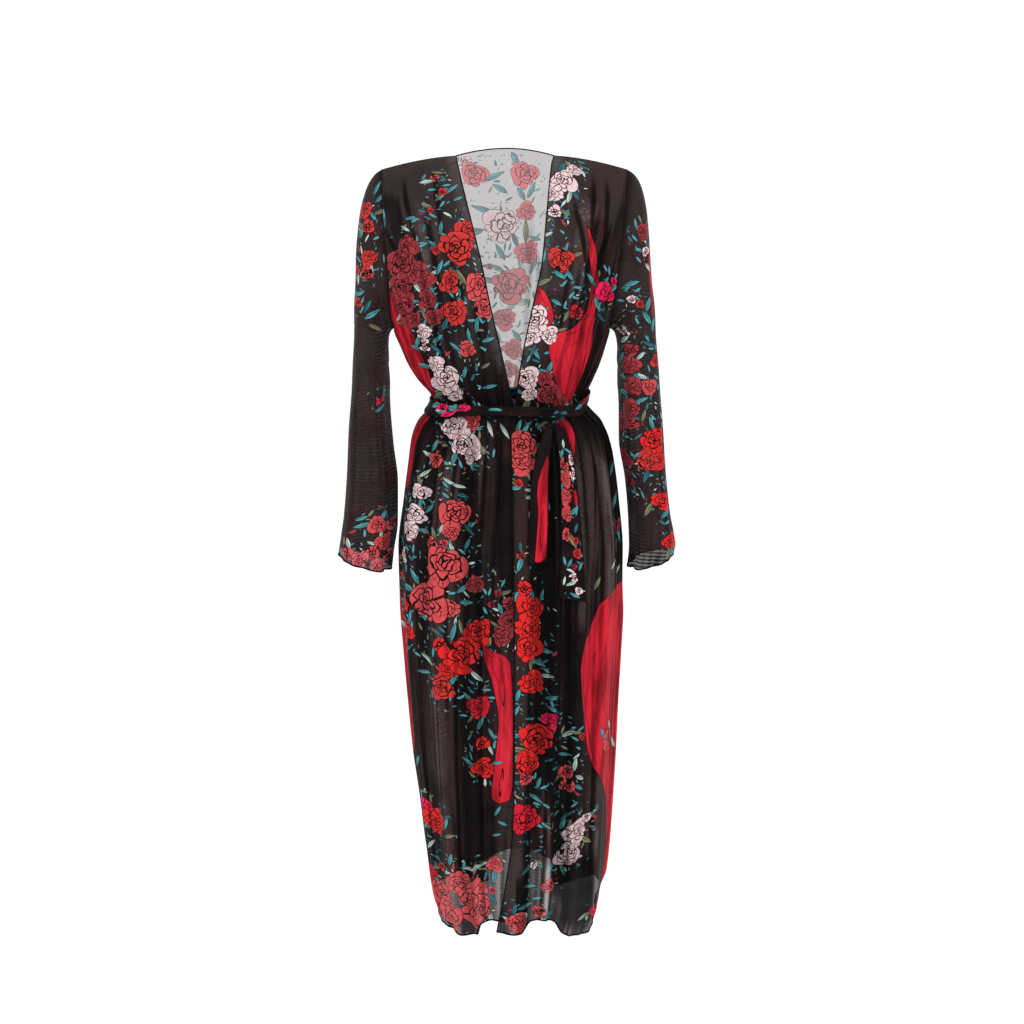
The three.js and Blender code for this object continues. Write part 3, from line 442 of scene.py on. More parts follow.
def body_point(angle, drop, lift=0.0, out=None):
    """Points of the body's cloth in mm. out is how far its folds stand out there."""
    angle, drop = np.broadcast_arrays(np.asarray(angle, float), np.asarray(drop, float))
    turned = turn_between(angle, 0)
    is_front = np.abs(turned) <= 90.0001
    side = np.where(turned >= 0, body(drop, "right"), body(drop, "left"))
    share_cut = np.where(is_front, arm_share(drop, "front"), arm_share(drop, "back"))
    half = np.abs(side) / share_cut
    deep = np.where(is_front, body(drop, "front"), body(drop, "back"))
    sine = np.abs(np.sin(np.radians(turned))) ** (2 / RING_POWER)
    cosine = np.abs(np.cos(np.radians(turned))) ** (2 / RING_POWER)
    x = np.sign(turned) * half * sine
    y = np.where(is_front, -1, 1) * deep * cosine
    along = np.clip((np.abs(x / side) - SHOULDER_START) / (1 - SHOULDER_START), 0, 1)
    top = mix(NECK_TOP, SHOULDER_TIP_TOP, along ** SHOULDER_BOW)
    neck_half = np.where(x < 0, -NECK_LEFT, NECK_RIGHT)
    in_neck = np.where(is_front, 0, np.clip(1 - (x / neck_half) ** 2, 0, 1))
    y = y + (NAPE_DEPTH * np.sqrt(in_neck) * np.clip(1 - y / UPPER_BACK_DEPTH, 0, 1)
             * np.clip(1 - drop / UNDERARM_DROP, 0, 1))
    top = top + NAPE_RISE * in_neck
    hang = np.clip(drop / UNDERARM_DROP, 0, 1)
    hem_share = smooth((drop - HEM_WAVES_FROM) / (HEM_DROP - HEM_WAVES_FROM))
    lower = read(HEM_LINE, "angle", turned, "lower") * hem_share
    z = np.where(drop < UNDERARM_DROP, mix(top, -UNDERARM_DROP, hang), -drop - lower)
    away_x, away_y = x / half ** 2, y / np.maximum(deep, LEAST_DEPTH) ** 2
    long = np.maximum(np.hypot(away_x, away_y), 1e-12)
    push = ((0 if out is None else out) + lift) * smooth(drop / FOLDS_START_OVER)
    return np.stack([x + away_x / long * push, y + away_y / long * push, z], -1)


def front_angle_at(x, drop):
    """Angle on the front ring where x has a given value."""
    side = np.where(x >= 0, body(drop, "right"), body(drop, "left"))
    half = np.abs(side) / arm_share(drop, "front")
    return np.sign(x) * np.degrees(np.arcsin(np.clip(np.abs(x) / half, 0, 1) ** (RING_POWER / 2)))


def overlap_lift(angle, edge, drop):
    """How far the upper front panel stands off near its edge, over the other."""
    near = 1 - smooth((angle - edge) / OVERLAP_ANGLE - OVERLAP_FULL_SHARE)
    return OVERLAP_LIFT * near * smooth((drop - OVERLAP_START) / OVERLAP_GROWS_OVER)


def lengths_along(points, axis):
    """Lengths in mm from the first row or column of a grid of points."""
    steps = np.linalg.norm(np.diff(points, axis=axis), axis=-1)
    total = np.cumsum(steps, axis=axis)
    return np.concatenate([np.zeros_like(np.take(total, [0], axis)), total], axis=axis)


def widening(across, plain):
    """How much wider than its view from the front the cloth is at each point."""
    seen = np.gradient(plain[..., 0], axis=1) + 1e-6
    return np.clip(np.abs(np.gradient(across, axis=1) / seen), 1, WIDEST)


def folded_layers(out, spacing, growth):
    """Layers of net that a look from the front meets where the cloth folds steeply."""
    steep = np.abs(np.gradient(out, axis=1)) / np.maximum(spacing, LEAST_SPACING)
    return np.sqrt(1 + (growth * steep) ** 2)


def covered(one_layer, layers):
    return 1 - (1 - one_layer) ** layers


class Sheet(NamedTuple):
    """A grid of points from the hem up, with its cut sizes across and down, and its two coordinates."""
    points: np.ndarray
    across: np.ndarray
    down: np.ndarray
    angle: np.ndarray
    drop: np.ndarray
    cover: np.ndarray
    widen: np.ndarray


def panel_sheet(kind, cloth):
    """The grid of a body panel: back, under (the right front) or over (the left front)."""
    rows, columns = cloth.rows_down_body, cloth.columns_on_back if kind == "back" else cloth.columns_on_front
    drops = HEM_DROP * (1 - np.linspace(0, 1, rows + 1))[:, None]
    share = np.linspace(0, 1, columns + 1)[None, :]
    if kind == "back":
        far = side_angle(drops, "back")
        angle = mix(180 - far, 180 + far, share)
    else:
        edge = front_angle_at(read(FRONT_EDGES, "drop", drops, kind), drops)
        side = side_angle(drops, "front")
        angle = mix(edge, side, share) if kind == "over" else mix(-side, edge, share)
    drop = np.broadcast_to(drops, angle.shape)
    folds = fold_out(angle, drop)
    gathers = gather_out(angle, drop, cloth.gather_depth / MM)
    creases, lines = crease_out(angle, drop, cloth.crease_share)
    creases = creases + hem_flutter(angle, drop)
    lift = overlap_lift(angle, angle[:, :1], drop) if kind == "over" else 0.0
    points = body_point(angle, drop, lift, folds + gathers + creases)
    if kind == "under":
        rise = UNDER_RISE * smooth((angle - UNDER_RISE_ANGLE) / UNDER_RISE_OVER)
        points[..., 2] += rise * smooth((drop - HEM_WAVES_FROM) / (HEM_DROP - HEM_WAVES_FROM))
    plain = body_point(angle, drop)
    across = lengths_along(plain, 1)
    centre = 180 if kind == "back" else 0
    for row in range(len(across)):
        across[row] -= np.interp(centre, angle[row], across[row])
    down = lengths_along(plain[::-1], 0)[::-1]
    layers = folded_layers(folds * FOLD_SHARE + gathers + creases, np.gradient(across, axis=1), PANEL_FOLD_LAYERS)
    # Painted shade in the troughs of the long folds and painted light on their ridges, as more or fewer layers. The
    # crease and ripple lines add painted shade too
    layers = layers + TROUGH_SHADE_LAYERS * np.clip(-folds / DEEP_TROUGH, RIDGE_LIGHT, 1) + lines
    gathered = BELT_LAYERS * bell((drop - BELT_DROP) / BELT_LAYERS_REACH)
    bare = cloth.cover_front
    if kind == "back":
        # Painted light: where the back is seen through the neck opening, it gets a lower cover than the rest of the
        # back. This brightens it and makes its painted glow strongest there
        right, left = (read(FRONT_EDGES, "drop", drop - NECK_SIGHT, side) for side in ("under", "over"))
        seen = np.minimum(plain[..., 0] - right, left - plain[..., 0])
        seen = smooth((seen + NECK_MARGIN) / NECK_BLUR) * smooth((NECK_END - drop) / NECK_END_OVER)
        bare = mix(cloth.cover_back, cloth.cover_in_neck, seen)
        gathered = gathered * (1 - seen)
    layers = np.maximum(layers + gathered + band_layers(kind, angle, drop), LEAST_LAYERS)
    return Sheet(points, across, down, angle, drop, covered(bare, layers), widening(across, plain))


def sleeve_sheet(side, cloth):
    """The grid of a sleeve, a tube whose seam runs under the arm."""
    rows, columns = cloth.rows_down_sleeve, cloth.columns_round_sleeve
    form = SLEEVES[side]
    at = 1 - np.linspace(0, 1, rows + 1)[:, None] ** SLEEVE_ROW_SPACING
    sweep = np.linspace(-180, 180, columns + 1)[None, :]
    turned = sweep if side == "right" else -sweep
    turned, at = np.broadcast_arrays(turned, at)
    value = {name: read(form, "at", at, name) for name in form}

    def ring(out):
        cosine, sine = np.cos(np.radians(turned)), np.sin(np.radians(turned))
        along = np.sign(cosine) * np.abs(cosine) ** (2 / SLEEVE_POWER)
        aside = np.abs(sine) ** (2 / SLEEVE_POWER)
        deep = np.where(sine >= 0, -value["front"], value["back"])
        outer = np.stack([value["outX"], np.zeros_like(at), value["outZ"]], -1)
        inner = np.stack([value["inX"], np.zeros_like(at), value["inZ"]], -1)
        middle = (outer + inner) / 2
        arm = outer - middle
        reach = np.stack([arm[..., 0] * along, deep * aside, arm[..., 2] * along], -1)
        size = np.maximum(np.linalg.norm(reach, axis=-1, keepdims=True), 1)
        free = middle + reach * (1 + out[..., None] / size)
        drop = UNDERARM_DROP * (1 - cosine) / 2
        front = sine >= 0
        far = np.where(front, side_angle(drop, "front"), 180 - side_angle(drop, "back"))
        sign = 1 if side == "left" else -1
        edge = body_point(sign * far, drop, 0.0, fold_out(sign * far, drop))
        return mix(free, edge, value["loop"][..., None])

    out = np.zeros(at.shape)
    for fold in SLEEVE_FOLDS:
        ends = fade_ends(at, fold, 1, SLEEVE_FOLD_FADE, SLEEVE_FOLD_FADE)
        out = out + fold.out * ends * bell(turn_between(turned, fold.round) / fold.half)
    fine = np.zeros(at.shape)
    for crease in SLEEVE_CREASES:
        away = turn_between(turned, crease.round + crease.lean * share_along(at, crease)) / crease.half
        ends = fade_ends(at, crease, 1, SLEEVE_CREASE_RISE, SLEEVE_CREASE_FALL)
        fine = fine + crease.out * ends * (bell(away) - SLEEVE_BANK * bell(away / SLEEVE_BANK_REACH))
    cross = np.sin(at * ELBOW_WAVES + 1.7 * np.sin(rad(turned * 2)) + rad(turned)) * bell((at - ELBOW) / ELBOW_REACH)
    flutter = 2.4 * np.sin(rad(turned * 6) + 0.8) + 1.2 * np.sin(rad(turned * 11))
    flutter = flutter * smooth((at - CUFF_FLUTTER_FROM) / CUFF_FLUTTER_OVER)
    fine = cloth.crease_share * (fine + ELBOW_DEPTH * cross) + flutter
    points = ring(out + fine)
    plain = ring(np.zeros(at.shape))
    down = -plain[..., 2]
    outer, inner = plain[::-1, columns // 2], plain[::-1, 0]
    outer_x = np.interp(down, np.maximum.accumulate(-outer[:, 2]), outer[:, 0])
    inner_x = np.interp(down, np.maximum.accumulate(-inner[:, 2]), inner[:, 0])
    inward = np.clip((plain[..., 0] - outer_x) / (inner_x - outer_x), 0, 1)
    across = np.sign(sweep) * np.arccos(1 - 2 * inward) * SLEEVE_GIRTH / (2 * math.pi)
    spacing = np.gradient(lengths_along(plain, 1), axis=1)
    layers = folded_layers(out * FOLD_SHARE + fine, spacing, SLEEVE_FOLD_LAYERS)
    # Painted shade: the sleeve darkens towards the armhole, where it meets the body
    layers = layers + ARMHOLE_SHADE_LAYERS * smooth((ARMHOLE_LAYERS_REACH - at) / ARMHOLE_LAYERS_REACH)
    return Sheet(points, across, down, turned, at * 1000, covered(cloth.cover_sleeve, layers),
                 widening(across, plain))


def before_front(x, drop, clear):
    """A depth just in front of the upper front panel, for what hangs on it."""
    edge = front_angle_at(read(FRONT_EDGES, "drop", drop, "over"), drop)
    angle = front_angle_at(x, drop)
    out = fold_out(angle, drop) + gather_out(angle, drop, BELT_GATHER_DEPTH)
    return body_point(angle, drop, overlap_lift(angle, edge, drop), out)[..., 1] - clear


def tail_sheet(kind, rows, columns):
    """The grid of a hanging belt end, creased along its length."""
    path = TAILS[kind]
    drop = mix(path["drop"][-1], path["drop"][0], np.linspace(0, 1, rows + 1))[:, None]
    share = np.linspace(-0.5, 0.5, columns + 1)[None, :]
    wide, middle = read(path, "drop", drop, "wide"), read(path, "drop", drop, "middle")
    x = middle + share * wide
    drop = np.broadcast_to(drop, x.shape)
    y = before_front(x, drop, read(path, "drop", drop, "clear") + TAIL_THICK)
    y = mix(y, y.min(axis=1, keepdims=True), TAIL_FLATNESS)
    fall = smooth((drop - path["drop"][0]) / 60)
    y = y - fall * (0.9 * np.sin(share * 15 + drop * 0.02) + 0.5 * np.sin(share * 31 - drop * 0.03)) - 0.8
    slant = (drop - path["drop"][0]) / (path["drop"][-1] - path["drop"][0])
    z = -drop + slant ** 8 * share * TAIL_SLANT[kind]
    cover = np.full(x.shape, TAIL_COVER)
    return Sheet(np.stack([x, y, z], -1), share * wide, drop, share * wide, drop, cover, np.ones(x.shape))


def belt_sheet(rows, columns):
    """The grid of the rolled belt: columns go round the waist and rows round its section."""
    angle = np.linspace(-180, 180, columns + 1)[None, :]
    phase = np.linspace(0, 360, rows + 1)[:, None]
    lift = OVERLAP_LIFT * smooth((BELT_LIFT_ANGLE - np.abs(angle)) / OVERLAP_ANGLE)
    tall = read(BELT_LINE, "angle", angle, "tall") * (1 + 0.05 * np.sin(rad(angle * 9)))
    middle = BELT_DROP + read(BELT_LINE, "angle", angle, "lower")
    twist = rad(angle * 1.6)
    groove = 0.13 * np.abs(np.sin(rad(phase * 1.5) + twist)) + 0.05 * np.sin(rad(phase * 5) + rad(angle * 11))
    out = 0.5 + (0.5 + groove * 0.9) * np.cos(rad(phase))
    up = (0.47 + groove * 0.3) * np.sin(rad(phase))
    drop = middle - up * tall
    angle = np.broadcast_to(angle, drop.shape)
    at = body_point(angle, drop)
    away = np.stack([at[..., 0], at[..., 1] * BELT_SQUARENESS], -1)
    away = away / np.linalg.norm(away, axis=-1, keepdims=True)
    push = BELT_CLEAR + lift + np.clip(out, 0.04, 1.15) * BELT_THICK
    points = np.stack([at[..., 0] + away[..., 0] * push, at[..., 1] + away[..., 1] * push, at[..., 2]], -1)
    across = lengths_along(points, 1) - BELT_PRINT_START
    down = np.broadcast_to(phase / 360 * BELT_SECTION_LENGTH, drop.shape)
    cover = np.full(drop.shape, BELT_COVER)
    return Sheet(points, across, down, angle, np.broadcast_to(phase, drop.shape), cover, np.ones(drop.shape))


# The print: generic roses and leaves, and plain areas of crimson
COLOURS = ("crimson", "bright", "red", "coral", "rose", "pink", "blush", "faded")
LEAF_COLOURS = ("teal", "deep_teal", "mint", "olive")
BLOOM_LAYERS, LEAF_LAYERS = 4, 2
BLOOM_REACH, LEAF_REACH = 1.14, 1.05
BLOOM_GROWTH, GROWS_FROM = 1.28, 8
SMALL_BLOOM, LARGE_BLOOM = 13, 15
STAMP_GAP = 1.14
CROWD_REACH = 13
OFF_STAMP, STAMP_MARGIN = 9, 2.5
FAR_FROM_AREA = 60
DEGREE_MM, NEAREST_DEGREE_MM = 2.5, 2.4
PLAIN_SEED, FULL_SEED, SEED_SPREAD, GOLDEN = 0.03, 0.53, 0.44, 0.618
MOSTLY_TEAL = (0, 0, 0, 1, 2, 3)
ROUND_KINDS = ("under", "over", "back", "right", "left")
WIDEST = 1.5
SLEEVE_GIRTH = 236
NECK_SIGHT, NECK_MARGIN, NECK_BLUR = 25, 20, 16
NECK_END, NECK_END_OVER = BELT_DROP - 4, 8


class Bloom(NamedTuple):
    """A printed rose: its place, radius, colour and how many times taller than wide."""
    angle: float
    drop: float
    radius: float
    colour: str
    tall: float = 1


class Leaf(NamedTuple):
    """A printed leaf: its place, half length, half width, turn and colour."""
    angle: float
    drop: float
    long: float
    wide: float
    turn: float
    colour: str


BLOOMS = {
    "under": [Bloom(*row) for row in (
        (-18, 128, 23, "red"), (-13, 106, 17, "red"), (-28, 134, 8, "red"), (-25, 30, 8, "coral"),
        (-22, 50, 8, "red"), (-28, 74, 5, "red"), (-50, 146, 22, "rose"), (-43, 124, 16, "rose"),
        (-41, 160, 16, "rose"), (-53, 182, 17, "rose"), (-34, 176, 12, "rose"), (-55, 212, 16, "rose"),
        (-36, 206, 14, "rose"), (-51, 236, 13, "rose"), (-33, 230, 12, "rose"), (-23, 178, 15, "red"),
        (-22, 222, 17, "red"), (-10, 186, 18, "coral"), (-8, 214, 15, "coral"), (-18, 278, 11, "coral"),
        (-43, 252, 12, "blush"), (-44, 272, 10, "blush"), (-38, 326, 20, "blush"), (-40, 300, 12, "blush"),
        (-37, 346, 15, "blush"), (-33, 398, 17, "blush"), (-22, 418, 18, "blush"), (-18, 436, 12, "blush"),
        (-22, 388, 13, "coral"), (-43, 450, 10, "coral"), (-54, 498, 11, "blush"), (-58, 534, 14, "blush"),
        (-62, 560, 13, "blush"), (-70, 602, 12, "blush"), (-26, 528, 21, "coral"), (-27, 554, 11, "coral"),
        (-40, 574, 10, "coral"), (-31, 570, 7, "coral"), (-31, 608, 28, "coral"), (-42, 662, 28, "coral"),
        (-28, 670, 13, "coral"), (-14, 630, 12, "rose"), (-22, 744, 27, "bright"), (-13, 708, 19, "bright"),
        (-30, 768, 12, "bright"), (-34, 728, 10, "bright"), (-68, 678, 11, "bright"), (-66, 716, 14, "bright"),
        (-78, 750, 13, "bright"), (-35, 798, 17, "red"), (-13, 820, 15, "crimson"), (-11, 878, 9, "bright"),
        (-11, 918, 15, "bright"), (-53, 1016, 18, "bright"), (-63, 1000, 12, "pink"), (-35, 1140, 31, "coral"),
        (-53, 1132, 21, "coral"), (-21, 1122, 19, "coral"), (-20, 1156, 19, "coral"),
        (-6, 1086, 12, "coral"), (-9, 1134, 8, "coral"), (-44, 1160, 20, "coral"), (-32, 1102, 16, "coral"),
        (-49, 1086, 8, "red"), (1, 684, 15, "rose"), (-1, 712, 14, "rose"), (1, 660, 10, "rose"),
        (-6, 664, 7, "rose"), (-3, 646, 7, "rose"), (-80, 880, 12, "red"), (-76, 640, 9, "red"),
    )],
    "over": [Bloom(*row) for row in (
        (6, 420, 19, "coral"), (6, 450, 16, "coral"), (4, 476, 7, "red"), (5, 584, 8, "rose"),
        (6, 634, 10, "bright"), (8, 668, 19, "bright"), (8, 698, 18, "bright"), (8, 728, 18, "bright"),
        (10, 782, 17, "bright"), (12, 872, 23, "bright"), (8, 908, 16, "bright"), (7, 932, 9, "coral"),
        (19, 844, 12, "pink"), (7, 996, 21, "crimson"), (29, 930, 10, "coral"), (30, 950, 10, "coral"),
        (39, 874, 7, "red"), (37, 1024, 17, "blush"), (34, 1052, 16, "blush"), (30, 1066, 13, "blush"),
        (46, 1004, 8, "blush"), (66, 898, 16, "coral"), (4, 1166, 15, "coral"), (20, 36, 18, "blush"),
        (24, 17, 11, "blush"), (16, 54, 12, "blush"), (17, 78, 9, "blush"), (22, 146, 17, "red"),
        (35, 222, 10, "crimson"), (12, 232, 18, "blush"), (10, 258, 13, "blush"), (20, 254, 12, "blush"),
        (10, 320, 16, "blush"), (13, 346, 11, "blush"), (27, 344, 17, "rose"), (21, 322, 12, "rose"),
        (38, 358, 12, "rose"), (55, 192, 14, "pink"), (60, 176, 7, "pink"), (60, 1150, 12, "crimson"),
        (12, 1086, 7, "blush"), (20, 1126, 10, "coral"), (6, 1162, 12, "blush"), (16, 1168, 9, "coral"),
        (74, 560, 10, "rose"), (14, 520, 9, "rose"),
    )],
    "back": [Bloom(*row) for row in (
        (-169, 34, 19, "faded"), (-166, 12, 10, "blush"), (-178, 110, 24, "blush"), (175, 36, 19, "faded"),
        (174, 90, 13, "faded"), (173, 152, 16, "faded"), (179, 202, 25, "faded"), (-179, 250, 15, "faded"),
        (178, 296, 14, "faded"), (179, 330, 12, "faded"), (-177, 350, 12, "faded"), (172, 348, 11, "coral"),
        (-174, 172, 6, "faded"), (-169, 1156, 14, "coral"), (-171, 334, 9, "coral"), (-176, 374, 13, "coral"),
        (166, 1150, 13, "coral"), (150, 1120, 15, "blush"), (-157, 1110, 12, "coral"),
        (150, 70, 17, "blush"), (138, 110, 20, "red"), (146, 150, 15, "red"), (128, 190, 18, "coral"),
        (152, 230, 18, "rose"), (136, 280, 17, "rose"), (150, 330, 16, "blush"), (-150, 80, 19, "rose"),
        (-138, 130, 18, "rose"), (-152, 170, 20, "coral"), (-130, 220, 19, "red"), (-148, 260, 16, "blush"),
        (-160, 320, 18, "coral"), (-128, 330, 15, "coral"), (160, 430, 22, "coral"), (148, 470, 18, "coral"),
        (176, 500, 17, "blush"), (-166, 540, 24, "red"), (-152, 580, 20, "red"), (138, 560, 22, "blush"),
        (126, 600, 17, "blush"), (160, 640, 26, "coral"), (172, 690, 20, "coral"), (-140, 660, 23, "bright"),
        (-126, 710, 19, "bright"), (-168, 760, 24, "rose"), (150, 780, 24, "bright"), (132, 820, 19, "bright"),
        (176, 860, 23, "coral"), (-150, 880, 22, "blush"), (-132, 930, 18, "blush"), (162, 960, 25, "coral"),
        (142, 1000, 20, "coral"), (-170, 1020, 24, "bright"), (-114, 1060, 20, "coral"), (120, 1080, 19, "red"),
        (-110, 480, 17, "rose"), (108, 460, 16, "red"), (-108, 830, 19, "coral"), (126, 936, 18, "rose"),
        (-140, 1130, 22, "coral"), (134, 1150, 20, "bright"), (180, 1090, 17, "rose"),
    )],
    # round and place down the sleeve in thousandths
    "right": [Bloom(*row) for row in (
        (36, 160, 12, "red"), (56, 150, 9, "red"), (74, 190, 11, "red"), (75, 240, 9, "red"),
        (34, 318, 8, "red"), (45, 389, 8, "red"), (126, 577, 7, "pink"), (108, 900, 12, "coral"),
        (132, 936, 12, "coral"), (156, 966, 10, "faded"), (104, 962, 10, "coral"), (150, 900, 9, "faded"),
        (80, 985, 12, "faded"), (124, 990, 11, "faded"), (52, 975, 9, "coral"),
        (-60, 200, 18, "coral"), (-90, 320, 17, "rose"), (-50, 430, 15, "rose"), (-110, 560, 16, "blush"),
        (-70, 700, 17, "coral"), (-120, 820, 16, "red"), (-60, 920, 14, "coral"),
    )],
    "left": [Bloom(*row) for row in (
        (45, 200, 11, "rose"), (45, 251, 8, "blush"), (102, 232, 7, "blush"), (138, 246, 8, "blush"),
        (78, 334, 7, "red"), (114, 473, 12, "rose"), (111, 543, 12, "rose"), (66, 577, 11, "coral"),
        (33, 534, 9, "red"), (62, 708, 17, "bright"), (84, 754, 15, "red"), (48, 762, 12, "bright"),
        (51, 858, 13, "bright"), (39, 955, 11, "bright"), (122, 598, 12, "rose"), (128, 640, 12, "rose"),
        (160, 640, 12, "rose"), (152, 746, 12, "rose"), (150, 800, 9, "rose"), (112, 420, 9, "rose"),
        (-60, 240, 17, "red"),
        (-100, 360, 16, "coral"), (-60, 480, 15, "blush"), (-110, 600, 17, "coral"), (-60, 740, 18, "bright"),
        (-110, 860, 15, "rose"), (-50, 940, 13, "coral"),
    )],
    # distance from the middle in mm and drop
    "long": [Bloom(*row) for row in (
        (-4, 452, 7.4, "coral", 1.7), (-4, 474, 8.2, "coral", 1.8), (-5, 499, 8.4, "coral", 1.8),
        (-6, 524, 8, "coral", 1.8), (-7, 556, 6.4, "coral", 1.9), (8, 444, 6, "blush", 1.6),
        (8, 464, 6.4, "blush", 1.7), (8, 586, 7, "red", 1.3), (7, 566, 5.6, "red", 1.2),
        (2, 622, 8, "blush"), (10, 640, 7, "blush"), (3, 604, 5, "rose"),
    )],
    "short": [],
    # distance round the belt from its front middle in mm and angle round its section
    "belt": [Bloom(*row) for row in (
        (-30, 8, 11, "pink"), (-42, 352, 9, "pink"), (-54, 6, 10, "pink"), (70, 20, 12, "rose"),
        (140, 10, 13, "red"), (-140, 10, 13, "coral"),
    )],
}

